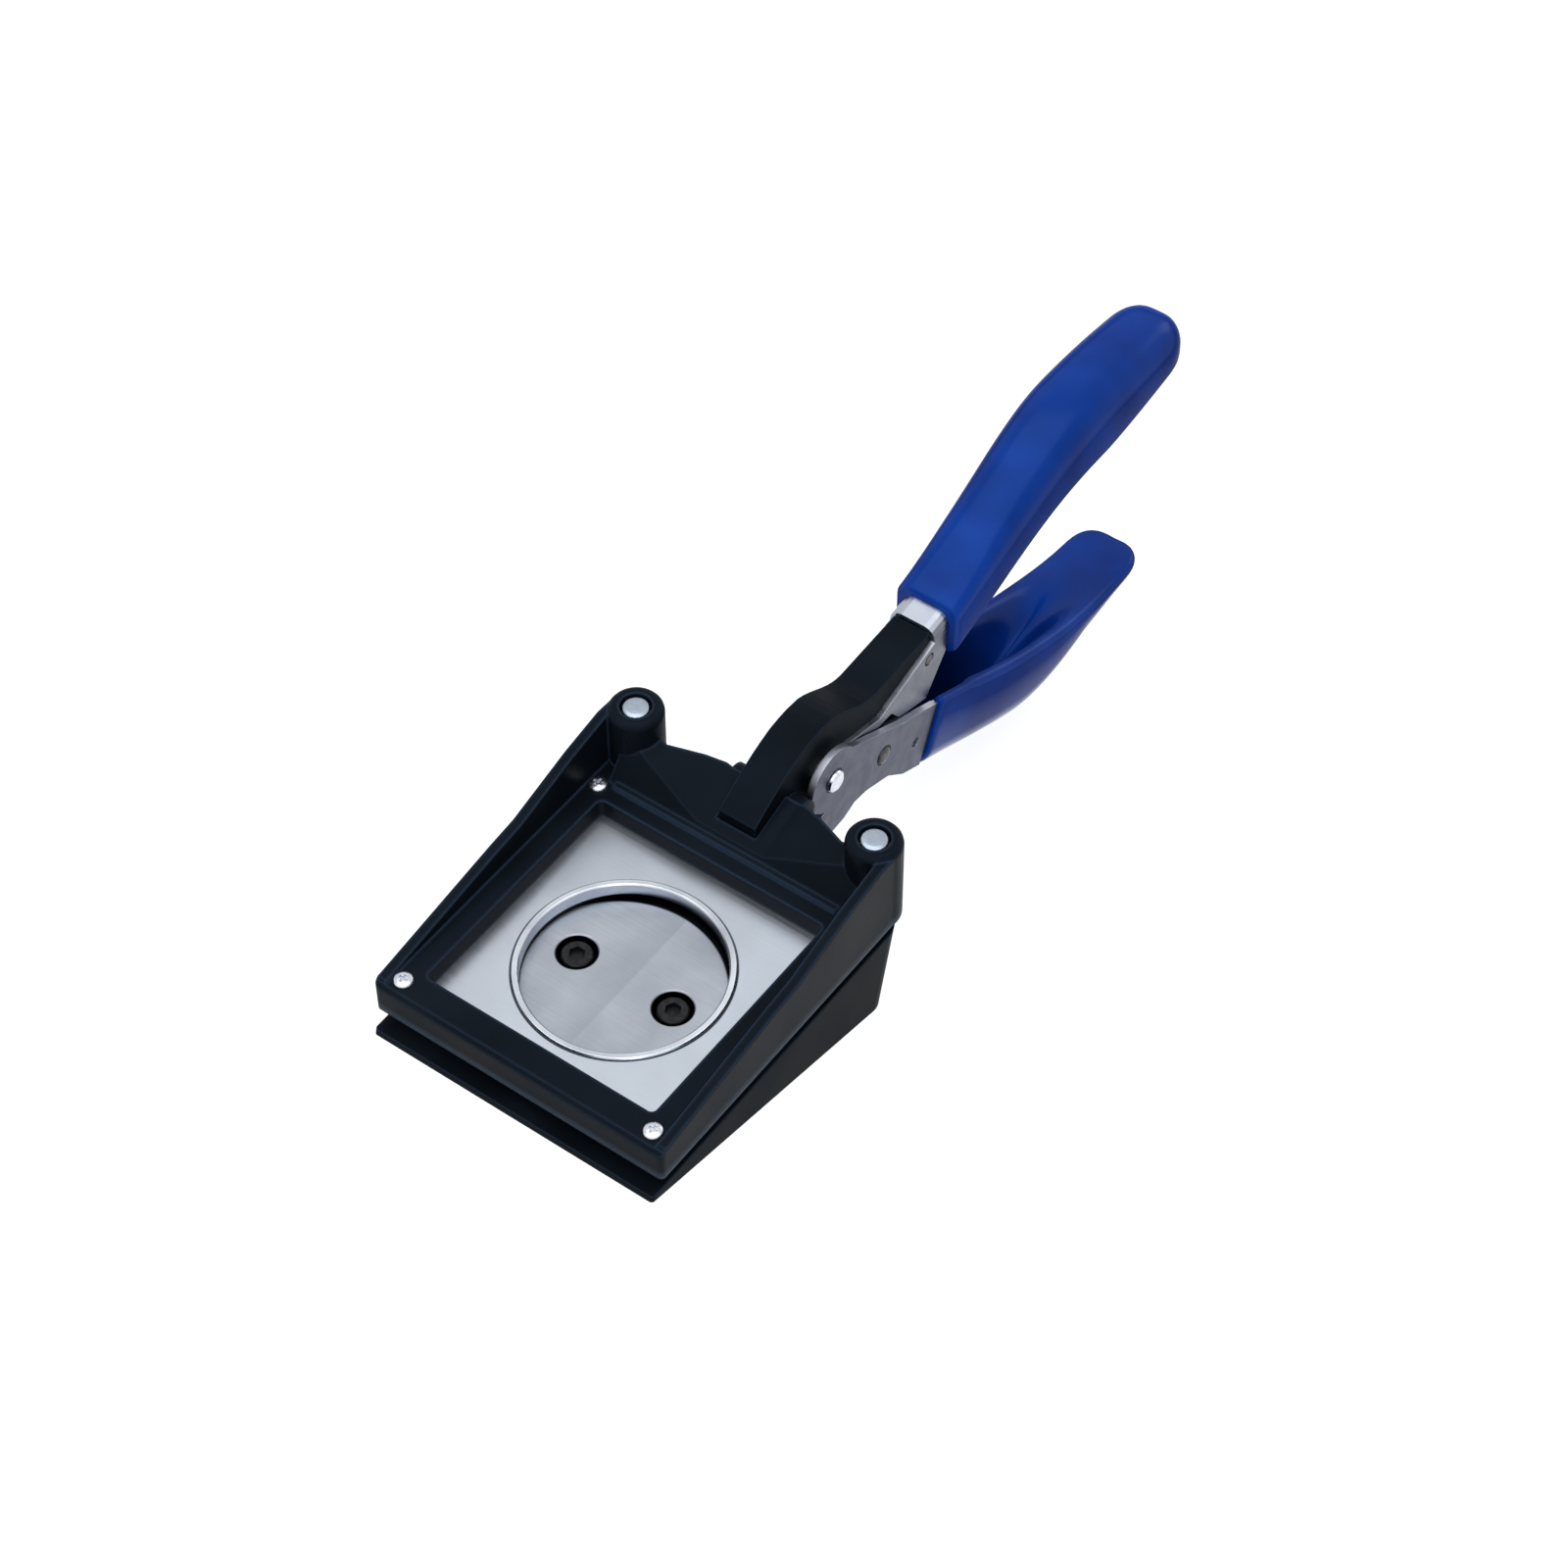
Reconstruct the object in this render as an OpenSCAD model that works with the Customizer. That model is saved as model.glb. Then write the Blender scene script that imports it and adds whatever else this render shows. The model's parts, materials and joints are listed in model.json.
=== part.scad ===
// Badge circle cutter: a wedge base with a fixed round punch, a die frame that slides down two
// posts on to it, and plier handles that drive the frame. Lengths in mm, angles in degrees.
// Pieces are drawn with the die plate level, the origin at the middle of the hole on the
// plate's upper face and +Y to the handles. stand() then tilts them on to the wedge base.

/* [Base] */
// Angle between the table and the die plate
wedge_deg = 14; // [8:0.5:20]
// Height of the thin front edge of the base
base_edge = 1.8; // [1:0.1:5]
// Amount by which the base is narrower than the die frame, each side
base_inset = 1.1; // [0:0.1:4]
// Reach of the base in front of the die frame
base_lip = 2.6; // [0:0.1:8]
// Wall of the base behind the guide posts
base_back = 6.2; // [5:0.1:12]
// Radius of the base's rear corners
base_corner = 7.6; // [3:0.1:10]
// Radius of the base's front corners
base_front_corner = 1; // [0.5:0.1:6]
// Open slot for the paper, between base and die frame
paper_gap = 5.4; // [4.6:0.1:9]
// Width of the block at the rear of the base that carries the arm
root_w = 26; // [20:0.5:40]
// Wall left round the hollow in the underside of the base
base_wall = 5; // [3:0.1:9]

/* [Die and punch] */
// Diameter of the paper circle
hole_d = 54; // [44:0.5:64]
// Width of the hardened ring's upper face
ring_w = 2.1; // [1.4:0.1:4]
// Height of the ring above the die plate
ring_lip = 0.8; // [0.3:0.1:2]
// Thickness of the die plate
plate_t = 3.8; // [3:0.1:6]
// Lap of the die plate under the frame's floor
plate_lap = 6.6; // [5.8:0.1:7.2]
// Height of the die plate's underside above the punch when open
punch_clear = 0.7; // [0.4:0.1:2]
// Depth of the seat of the punch in the base
punch_seat = 3; // [2:0.1:4]
// Distance between the two punch screws
socket_pitch = 31; // [24:0.5:36]
// Thread size of the punch screws
socket_d = 5; // [4:0.5:6]
// Head diameter of the punch screws
socket_head_d = 8.5; // [7:0.1:10]
// Head height of the punch screws
socket_head_h = 3.6; // [3:0.1:4]
// Diameter of the counterbores in the punch
socket_bore_d = 11; // [10.6:0.1:14]
// Length of the punch screws under the head
socket_len = 9; // [7:0.5:11]
// Diameter of the two dowels under the punch
dowel_d = 3; // [2:0.1:4]
// Distance between the two dowels
dowel_pitch = 36; // [30:0.5:40]
// Thread size of the die plate's screws
plate_screw_d = 3; // [2:0.1:3.4]
// Head diameter of the die plate's screws
plate_screw_head = 5.2; // [4.4:0.1:5.6]
// Head height of the die plate's screws
plate_screw_rise = 1.5; // [1:0.1:2.5]

/* [Die frame] */
// Depth of the skirt round the die plate
skirt_h = 4; // [3.9:0.1:6]
// Thickness of the frame's floor above the plate
floor_t = 6.2; // [5:0.1:9]
// Margin between ring and window
window_margin = 7.1; // [4:0.1:12]
// Amount by which the window lies behind the hole's centre
window_shift = 1.1; // [0:0.1:3]
// Radius of the window's corners
window_corner = 1.6; // [0.5:0.1:6]
// Width of the floor at each side of the window
frame_side = 9.5; // [9.4:0.1:12]
// Width of the floor in front of the window
frame_front = 9.2; // [9:0.1:14]
// Width of the floor behind the window
frame_rear = 6.1; // [6:0.1:9]
// Thickness of the side walls
wall_t = 2.9; // [2:0.1:3.2]
// Height of the side walls at the front, above the floor
wall_front_h = 0.8; // [0.4:0.1:4]
// Height of the side walls at the middle, above the floor
wall_mid_h = 7.6; // [4:0.1:10]
// Bevel along the frame's front edge
front_bevel = 2; // [0.5:0.1:3]
// Radius of the frame's front corners
frame_corner = 1.4; // [1:0.1:6]
// Diameter of the guide bosses
boss_d = 15.4; // [14.6:0.1:20]
// Amount by which the guide bosses stand out of the side walls
boss_proud = 0.2; // [0.1:0.1:2]
// Height of the guide bosses above the die plate
boss_h = 24.8; // [22:0.1:32]
// Radius round the top edge of the guide bosses
boss_round = 2.2; // [0.5:0.1:2.6]
// Distance from the deck's front foot back to the guide posts
post_back = 12.7; // [11:0.1:18]
// Lean of the deck's front face
deck_lean = 38; // [10:1:40]
// Height of the deck's front edge in the middle, above the floor
deck_low = 1.5; // [1:0.1:8]
// Width of the flat middle of the deck
deck_flat = 21.4; // [16:0.1:30]
// Rise of the deck to the rear
deck_rise = 18.4; // [6:0.2:22]
// Slope of the deck's sides up to the bosses
deck_slope = 12.5; // [8:0.5:26]
// Reach of the deck behind the posts
deck_back = 5.5; // [4:0.1:6]
// Height of the ledge along the deck's front foot
ledge_h = 0.9; // [0.4:0.1:2]
// Width of that ledge
ledge_w = 1.2; // [0.6:0.1:2]

/* [Guides] */
// Diameter of the guide posts
post_d = 5.6; // [4.6:0.1:6]
// Depth of the posts in the base
post_depth = 8; // [6:0.5:9]
// Diameter of the heads of the posts
cap_d = 7.3; // [6.6:0.1:8]
// Height of the heads of the posts
cap_h = 3.4; // [2:0.1:5]
// Diameter of the bore round the heads
cap_bore_d = 8.8; // [8.4:0.1:10]
// Outer diameter of the guide bushes
bush_d = 8.2; // [7.4:0.1:8.4]
// Diameter of the spring pockets in the bosses
pocket_d = 11; // [10.6:0.1:12]
// Height of the spring pockets above the die plate
pocket_h = 9; // [6:0.1:12]
// Wire of the return springs
spring_wire = 1; // [0.6:0.1:1.2]
// Middle diameter of the return springs
spring_d = 8.6; // [7.8:0.1:9.2]
// Curls of one return spring
spring_curls = 6; // [4:1:8]

/* [Arm] */
// Width of the arm
arm_w = 11.6; // [10:0.1:14]
// Distance from the deck's front foot back to the arm's front
finger_back = 5.3; // [5:0.1:7]
// Height of the arm's front tip above the die plate
finger_h = 12.1; // [11:0.1:14]
// Height of the arm's hump above the pivot
hump_h = 18.1; // [14:0.1:24]
// Height of the arm's neck above the pivot
neck_h = 9.4; // [8.6:0.1:12]
// Distance from the pivot back to the arm's neck
neck_back = 24.4; // [20:0.1:30]

/* [Lever] */
// Distance from the posts back to the pivot
pivot_back = 22.5; // [21:0.1:30]
// Height of the pivot above the die plate
pivot_h = 6.1; // [4:0.1:9]
// Diameter of the pivot pin
pivot_d = 5; // [4:0.1:6]
// Diameter of the pivot pin's head
pivot_head_d = 6.6; // [6.2:0.1:9]
// Diameter of the lever plates' round ends
lever_head_d = 20; // [17:0.1:20.4]
// Thickness of the lever's steel
lever_t = 2; // [1.4:0.1:3]
// Thickness of the fixed handle's steel
channel_t = 1.6; // [1:0.1:2.4]
// Distance from the pivot forward to the thrust pin
thrust_arm = 16; // [15:0.1:18]
// Diameter of the thrust pin
thrust_d = 4; // [3:0.1:5]
// Turn of the lever from open to closed
lever_turn = 12; // [8:0.5:13]
// Thickness of the tongue between the lever plates
tongue_t = 5; // [3:0.1:6]
// Outer diameter of the frame's lugs round the thrust pin
lug_d = 9.6; // [8:0.1:10]
// Thickness of the frame's lugs
lug_t = 5.2; // [3:0.1:8]
// Diameter of the rivets
rivet_d = 4; // [3:0.1:5]
// Distance from the pivot back to the tongue's rivet
link_back = 23.2; // [21:0.1:25]
// Distance from the pivot down to the tongue's rivet
link_down = 11.6; // [10:0.1:12.5]

/* [Grips] */
// Thickness of the dipped vinyl
vinyl_t = 1.4; // [0.8:0.1:2.4]
// Corner radius of the folded steel, as a share of its half width
fold_share = 0.5; // [0.3:0.05:0.6]
// Corner radius of the vinyl, as a share of its half width
grip_share = 0.6; // [0.4:0.05:0.7]
// Distance from the pivot back to the fixed handle's web
web_back = 49.8; // [44:0.1:56]
// Length of bare steel in front of the fixed grip
bare_len = 6.4; // [4:0.1:10]
// Length of the fixed grip
upper_len = 115; // [90:1:130]
// Height of the fixed handle's web at its front, above the pivot
web_h = 12.4; // [12:0.1:15]
// Height of the fixed handle's crest above the pivot
crest_h = 38.3; // [28:0.1:46]
// Distance from the pivot back to the crest
crest_back = 126; // [110:1:140]
// Drop of the fixed handle from the crest to its tip
droop_h = 4; // [0:0.1:8]
// Steel depth of the fixed handle at its front
upper_depth = 11.8; // [10:0.1:14]
// Steel depth of the fixed handle at its crest
crest_depth = 17.2; // [12:0.1:20]
// Steel half width of the fixed handle at its crest
crest_half_w = 9.7; // [8.4:0.1:12]
// Narrowing of the fixed handle from the crest to its tip, each side
upper_taper = 1; // [0:0.1:3]
// Distance from the pivot back to the lever's grip
lower_back = 45.4; // [42:0.1:52]
// Length of the lever's grip
lower_len = 111; // [96:1:120]
// Fall of the lever's rim from the pivot to the grip's front
lower_drop = 14; // [10:0.1:18]
// Fall of the lever's rim along the grip
lower_fall = 31.5; // [24:0.1:38]
// Steel depth of the lever's trough at its front
lower_depth = 18.4; // [14:0.1:22]
// Steel depth of the lever's trough at its tip
spoon_depth = 2.4; // [2:0.1:5]
// Steel half width of the lever's trough at its middle
lower_half_w = 10.9; // [10.2:0.1:13]
// Narrowing of the lever's trough from its middle to its tip, each side
lower_taper = 1.5; // [0:0.1:3]
// Squareness of the grips' tips (2 is round)
tip_power = 2.6; // [2:0.1:4]
// Length behind the mouth over which the lever's trough is bare inside
nest_len = 12; // [10:1:20]
// Depth below the rim to which it is bare there
nest_depth = 9; // [6:0.5:12]

/* [Fits] */
// Clearance between pieces that are fixed together
fit_gap = 0.04; // [0.02:0.01:0.1]
// Radial clearance between pieces that turn or slide on each other
run_gap = 0.05; // [0.02:0.01:0.1]
// Clearance between flat faces that pass each other
side_gap = 0.3; // [0.2:0.05:0.5]
// Clearance of the arm in the frame's slot and of pins in their slots
slot_gap = 0.5; // [0.3:0.05:0.8]

/* [Hidden] */
$fn = 48;
// Overcut of tools that pass through a face
over = 1;
// Length that passes through the whole object
far = 400;

// Plan of the die frame
hole_r = hole_d / 2;
ring_r = hole_r + ring_w;
window_half = ring_r + window_margin;
window_y0 = window_shift - window_half;
window_y1 = window_shift + window_half;
head_half = window_half + frame_side;
head_y0 = window_y0 - frame_front;
deck_y0 = window_y1 + frame_rear;
post_y = deck_y0 + post_back;
post_x = head_half + boss_proud - boss_d / 2;
deck_y1 = post_y + deck_back;

// Plate, with its screws in the floor round the window
plate_half = window_half + plate_lap;
plate_y0 = window_y0 - plate_lap;
plate_y1 = window_y1 + plate_lap;
screw_edge = 0.8;
screw_front = 1;
screw_in = plate_screw_head / 2 + screw_edge;
screw_x = window_half + screw_in;
screw_y0 = window_y0 - screw_in - screw_front;
screw_y1 = window_y1 + screw_in;
ledge_half = screw_x - plate_screw_head / 2 - over;

// Heights over the die plate
base_z = -skirt_h - paper_gap;
punch_z = -plate_t - punch_clear;
seat_z = base_z - punch_seat;
head_under = 0.6;
socket_sink = socket_head_h + head_under;
socket_z = punch_z - socket_sink;
bore_bevel = 0.4;
screw_bevel = 0.4;
cap_under = 0.4;
cap_dome = 0.8;
cross_slot_w = 0.7;
cap_z = boss_h - cap_under - cap_h;
base_half = head_half - base_inset;

// Table frame: y and z of a point of the die frame
function table_y(y, z) = y * cos(wedge_deg) - z * sin(wedge_deg);
function table_z(y, z) = y * sin(wedge_deg) + z * cos(wedge_deg);
die_h = base_edge - table_z(head_y0 - base_lip, base_z);
base_y0 = table_y(head_y0 - base_lip, base_z);
base_y1 = table_y(post_y, base_z) + base_back;

// Pivot, thrust pin and arm
pivot_y = post_y + pivot_back;
stroke = thrust_arm * lever_turn * PI / 180;
thrust_y = pivot_y - thrust_arm;
thrust_z = pivot_h + stroke / 2;
lug_root = max(over, thrust_y - deck_y1 + over);
heel_front = 5.7;
heel_y = pivot_y - heel_front;
root_y1 = table_y(heel_y - slot_gap, base_z);
finger_y = deck_y0 + finger_back;
neck_y = pivot_y + neck_back;
link_y = pivot_y + link_back;
link_z = pivot_h - link_down;
belly_drop = 0.9;
arm_belly = pivot_h - belly_drop;

// Layers across the machine, from the middle outwards
arm_half = arm_w / 2;
slot_half = arm_half + slot_gap;
channel_in = arm_half + fit_gap;
channel_out = channel_in + channel_t;
lever_in = channel_out + side_gap;
lever_out = lever_in + lever_t;
tongue_half = tongue_t / 2;
pivot_head_h = 2.2;
// Heads lie this deep in the lever's plates, with a gap all round
head_sink = 0.6;
head_ring = 0.5;
rivet_head_r = 0.68 * rivet_d;
clip_t = 0.8;
clip_ring = 1.6;
groove_in = 0.7;
// Depth by which a folded channel's faces lie inside the flat plates that run into it
fold_in = 0.05;

// Springs
spring_r = spring_d / 2;
wire_r = spring_wire / 2;
spring_z0 = base_z + wire_r + fit_gap;
spring_z1 = pocket_h - wire_r - fit_gap;

// Fixed handle: stations along Y
web_y = pivot_y + web_back;
upper_mouth = web_y + bare_len;
upper_end = upper_mouth + upper_len;
arm_end = upper_mouth - slot_gap;
arm_tail_z = pivot_h + web_h - fold_share * channel_out - fit_gap;
crest_y = pivot_y + crest_back;
tip_len = 12;
upper_steel_end = upper_end - tip_len;
// Bevels along the rims of the folded steel and of the vinyl
steel_lip = 0.2;
vinyl_lip = 0.9;
// Size of a grip's last ring, as a share of the full one, and the angles of a tip's rings
tip_least = 0.1;
tip_deg = [25, 45, 62, 78, 90];

// Lever: stations along Y, sheared so that the grip's mouth lies square to the handle
lower_mouth = pivot_y + lower_back;
lower_end = lower_mouth + lower_len;
spoon_len = 28;
trough_lead = 9;
lower_steel_end = lower_end - spoon_len;
lower_y0 = lower_mouth - trough_lead;
lower_shear = 0.4;
lower_flat = 43;
nest_half = lever_in + lever_t / 2;
// Where the grips widen behind their mouths, and where the lower one narrows again
upper_flare = 4;
lower_flare = 6;
lower_flare_len = 40;
taper_from = 60;
taper_len = 45;

function clamp(s) = min(1, max(0, s));
function ease(s) = clamp(s) * clamp(s) * (3 - 2 * clamp(s));
function mix(a, b, s) = a + (b - a) * s;
// Rounding of a grip's tip: 1 on the body, falling to nothing as a squared quarter ellipse
function tip(y, end) = let (s = clamp((y - end + tip_len) / tip_len))
    pow(1 - pow(s, tip_power), 1 / tip_power);

// Fixed handle: web height, depth and half width of the steel at y
function upper_past(y) = max(0, (y - crest_y) / (upper_end - crest_y));
function upper_web(y) = pivot_h
    + mix(web_h, crest_h, pow(sin(90 * clamp((y - web_y) / (crest_y - web_y))), 1.6))
    - droop_h * pow(upper_past(y), 2);
function upper_deep(y) = mix(upper_depth, crest_depth, ease((y - web_y) / (crest_y - web_y)))
    - 0.5 * crest_depth * pow(upper_past(y), 1.5);
function upper_half(y) = mix(channel_out - fold_in, crest_half_w,
        ease((y - upper_mouth - upper_flare) / (crest_y - upper_mouth)))
    - upper_taper * pow(upper_past(y), 2);

// Lever: rim height, depth and half width of the steel at y
function lower_rim(y) = pivot_h - lower_drop
    - lower_fall * sin(90 * min(1, (y - lower_mouth) / (lower_len - 3)));
function lower_deep(y) = mix(lower_depth, spoon_depth,
    ease((y - lower_mouth - lower_flat) / (lower_len - lower_flat - 6)));
function lower_half(y) = mix(lever_out - fold_in, lower_half_w,
        ease((y - lower_mouth - lower_flare) / lower_flare_len))
    - lower_taper * ease((y - lower_mouth - taper_from) / taper_len);

// One ring of a channel: half width w, depth h, wall t, web at height z, opening to side
// (1 up, -1 down), corners of a share of w. All rings have the same count of points, so that
// they can be lofted. Steel and cavity share one corner, and the thicker vinyl is rounder.
arc_steps = 4;
function arc(cx, cv, r, a) = [for (i = [0:arc_steps])
    [cx + r * cos(a - 90 * i / arc_steps), cv + r * sin(a - 90 * i / arc_steps)]];
function arc_back(cx, cv, r, a) = [for (i = [0:arc_steps])
    [cx + r * cos(a + 90 * i / arc_steps), cv + r * sin(a + 90 * i / arc_steps)]];
function outline(w, h, t, c, share) =
    let (r = min(share * w, 0.6 * h))
    let (d = min(t, h - 0.3))
    let (i = max(0.3, w - t))
    let (q = max(0.05, min(r - t, i - 0.1, h - d - c - 0.05)))
    concat([[w - c, h], [w, h - c]], arc(w - r, r, r, 0), arc(r - w, r, r, -90),
        [[-w, h - c], [c - w, h], [-i - c, h], [-i, h - c]],
        arc_back(q - i, d + q, q, 180), arc_back(i - q, d + q, q, 270),
        [[i, h - c], [i + c, h]]);
function ring(y, w, h, t, z, side, shear, c, share) = [for (p = outline(w, h, t, c, share))
    [p[0], y + shear * side * (p[1] - h / 2), z + side * p[1]]];
function corner_share(grow) = grow > vinyl_t / 2 ? grip_share : fold_share;
function upper_ring(y, grow, c) =
    let (f = mix(tip_least, 1, tip(y, upper_end)))
    let (h = (upper_deep(y) + 2 * grow) * f)
    let (mid = upper_web(y) - upper_deep(y) / 2)
    let (wall = channel_t - 2 * fold_in + 2 * grow)
    ring(y, (upper_half(y) + grow) * f, h, wall, mid + h / 2, -1, 0, c * f, corner_share(grow));
function lower_ring(y, grow, c) =
    let (f = mix(tip_least, 1, tip(y, lower_end)))
    let (h = (lower_deep(y) + 2 * grow) * f)
    let (mid = lower_rim(y) - lower_deep(y) / 2)
    let (wall = lever_t - 2 * fold_in + 2 * grow)
    let (w = (lower_half(y) + grow) * f)
    ring(y, w, h, wall, mid - h / 2, 1, lower_shear, c * f, corner_share(grow));

// Stations that steel, cavity and vinyl share
upper_steps = 9;
upper_run = [for (i = [0:upper_steps])
    mix(upper_mouth, upper_steel_end, i / upper_steps)];
upper_tips = [for (a = tip_deg) upper_steel_end + tip_len * sin(a)];
lower_steps = 9;
lower_run = [for (i = [0:lower_steps])
    mix(lower_mouth, lower_steel_end, i / lower_steps)];
lower_tips = concat([for (i = [1:3]) mix(lower_steel_end, lower_end - tip_len, i / 3)],
    [for (a = tip_deg) lower_end - tip_len + tip_len * sin(a)]);

// Solid through a list of rings
module loft(rings, turned) {
    n = len(rings[0]);
    m = len(rings);
    sides = [for (k = [0:m - 2]) for (i = [0:n - 1]) for (half = [0, 1])
        let (a = k * n + i)
        let (b = k * n + (i + 1) % n)
        half == 0 ? [a, b, b + n] : [a, b + n, a + n]];
    // each end is a strip of triangles between the outer and the inner outline
    strip = [for (k = [0:n / 2 - 2]) for (half = [0, 1])
        half == 0 ? [k, k + 1, n - 2 - k] : [k, n - 2 - k, n - 1 - k]];
    front = [for (f = strip) [f[2], f[1], f[0]]];
    back = [for (f = strip) [for (i = f) (m - 1) * n + i]];
    faces = concat(sides, front, back);
    polyhedron(points = [for (r = rings) each r],
        faces = turned ? [for (f = faces) [for (i = [len(f) - 1:-1:0]) f[i]]] : faces);
}

// Places a piece drawn in the die frame on the table
module stand() {
    translate([0, 0, die_h]) rotate([wedge_deg, 0, 0]) children();
}

// Slab with rounded corners, exact arcs
module round_slab(x0, x1, y0, y1, r, h) {
    linear_extrude(h) union() {
        translate([x0 + r, y0]) square([x1 - x0 - 2 * r, y1 - y0]);
        translate([x0, y0 + r]) square([x1 - x0, y1 - y0 - 2 * r]);
        for (x = [x0 + r, x1 - r]) for (y = [y0 + r, y1 - r]) translate([x, y]) circle(r);
    }
}

// Cylinder across the machine, from x0 to x1
module cross(x0, x1, r) {
    translate([x0, 0, 0]) rotate([0, 90, 0]) cylinder(h = x1 - x0, r = r);
}

// Low domed head, turned, base on z = 0
module dome(r, h) {
    rotate_extrude() polygon([[0, 0], [r, 0], [r, 0.45 * h], [0.92 * r, 0.7 * h],
        [0.7 * r, 0.9 * h], [0.4 * r, h], [0, h]]);
}

// Side profile (points in Y and Z) made solid from x0 to x1
module side_solid(points, x0, x1) {
    translate([x0, 0, 0]) rotate([90, 0, 90]) linear_extrude(x1 - x0) polygon(points);
}

// Plan of the base on the table: four rounded corners, and the root block behind
module base_plan() {
    union() {
        translate([-base_half + base_front_corner, base_y0])
            square([2 * (base_half - base_front_corner), base_y1 - base_y0 - base_corner]);
        translate([-base_half, base_y0 + base_front_corner])
            square([2 * base_half, base_y1 - base_y0 - base_front_corner - base_corner]);
        translate([-base_half + base_corner, base_y0 + base_corner])
            square([2 * (base_half - base_corner), base_y1 - base_y0 - base_corner]);
        for (s = [-1, 1]) {
            translate([s * (base_half - base_front_corner), base_y0 + base_front_corner])
                circle(base_front_corner);
            translate([s * (base_half - base_corner), base_y1 - base_corner])
                circle(base_corner);
        }
        translate([-root_w / 2, 0]) square([root_w, root_y1]);
    }
}

// Top line of the arm: a rise from the finger to the hump over the pivot, then the neck
arm_steps = 8;
arm_rise = [for (i = [0:arm_steps])
    [mix(finger_y, pivot_y, i / arm_steps),
        mix(finger_h, pivot_h + hump_h, sin(90 * i / arm_steps))]];
arm_fall = [for (i = [1:arm_steps])
    [mix(pivot_y + 2, neck_y, i / arm_steps),
        pivot_h + mix(hump_h, neck_h, ease(i / arm_steps))]];
arm_root_y = heel_y - slot_gap;
arm_line = concat([[finger_y, base_z - over]], arm_rise, arm_fall, [
    [web_y - slot_gap / 2, pivot_h + web_h - channel_t],
    [web_y - slot_gap / 2, arm_tail_z],
    [arm_end, arm_tail_z],
    [arm_end, pivot_h + web_h - upper_depth - 1],
    [neck_y + 8, arm_belly],
    [link_y - 6, arm_belly],
    [pivot_y + 6, pivot_h - 8],
    [arm_root_y, pivot_h - 8.6],
    [arm_root_y, base_z - over]]);

// Room for the tongue inside the arm
nose_wall = 3.2;
nose_r = thrust_d / 2 + nose_wall;
nose_room = [
    [thrust_y - nose_r - slot_gap, thrust_z - stroke - nose_r - slot_gap],
    [thrust_y - nose_r - slot_gap, thrust_z + nose_r + slot_gap],
    [pivot_y + 4, thrust_z + nose_r + slot_gap],
    [link_y + 6, arm_belly + 0.6],
    [link_y + 6, base_z - far / 8],
    [arm_root_y + slot_gap, base_z - far / 8],
    [arm_root_y + slot_gap, thrust_z - stroke - nose_r - slot_gap]];

// Wedge base, root block and arm in one casting
module base_casting() {
    color([0.09, 0.1, 0.11]) difference() {
        union() {
            difference() {
                linear_extrude(far / 4) base_plan();
                stand() translate([-far / 2, -far / 2, base_z]) cube([far, far, far]);
            }
            stand() side_solid(arm_line, -arm_half, arm_half);
        }
        // hollow underside behind the punch
        base_hollow();
        stand() {
            translate([0, 0, seat_z]) cylinder(h = far, r = hole_r - run_gap + fit_gap, $fn = 96);
            for (s = [-1, 1]) {
                translate([s * socket_pitch / 2, 0, socket_z - socket_len - over])
                    cylinder(h = socket_len, r = socket_d / 2 + fit_gap);
                translate([0, s * dowel_pitch / 2, seat_z - dowel_d])
                    cylinder(h = dowel_d + over, r = dowel_d / 2 + fit_gap);
                translate([s * post_x, post_y, base_z - post_depth])
                    cylinder(h = post_depth + over, r = post_d / 2 + fit_gap);
            }
            side_solid(nose_room, -tongue_half - run_gap, tongue_half + run_gap);
            translate([0, pivot_y, pivot_h]) cross(-far, far, pivot_d / 2 + fit_gap);
            // slot in which the thrust pin falls with the frame
            for (z = [thrust_z, thrust_z - stroke])
                translate([0, thrust_y, z]) cross(-far, far, thrust_d / 2 + slot_gap);
            translate([-far / 2, thrust_y - thrust_d / 2 - slot_gap, thrust_z - stroke])
                cube([far, thrust_d + 2 * slot_gap, stroke]);
            arm_rivet_place() cross(-far, far, rivet_d / 2 + fit_gap);
        }
    }
}

// Pocket in the underside, under the rear of the frame, with a rib in the middle
hollow_y0 = table_y(hole_r + 4, seat_z);
hollow_y1 = table_y(post_y - post_d, base_z) - 2;
module base_hollow() {
    for (s = [-1, 1]) difference() {
        translate([s > 0 ? root_w / 2 : base_wall - base_half, hollow_y0, -over])
            cube([base_half - base_wall - root_w / 2, hollow_y1 - hollow_y0, far / 4]);
        stand() translate([-far / 2, -far / 2, base_z - base_wall]) cube([far, far, far]);
    }
}

// Round punch, with two counterbored screws and two dowels
module punch() {
    color([0.76, 0.78, 0.81]) stand() difference() {
        translate([0, 0, seat_z]) cylinder(h = punch_z - seat_z, r = hole_r - run_gap, $fn = 96);
        for (s = [-1, 1]) {
            translate([s * socket_pitch / 2, 0, seat_z - over]) {
                cylinder(h = far, r = socket_d / 2 + fit_gap);
                translate([0, 0, socket_z - seat_z + over]) cylinder(h = far, r = socket_bore_d / 2);
                translate([0, 0, punch_z - bore_bevel - seat_z + over])
                    cylinder(h = over, r1 = socket_bore_d / 2, r2 = socket_bore_d / 2 + over);
            }
            translate([0, s * dowel_pitch / 2, seat_z - over])
                cylinder(h = dowel_d + over, r = dowel_d / 2 + fit_gap);
        }
    }
}

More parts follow.
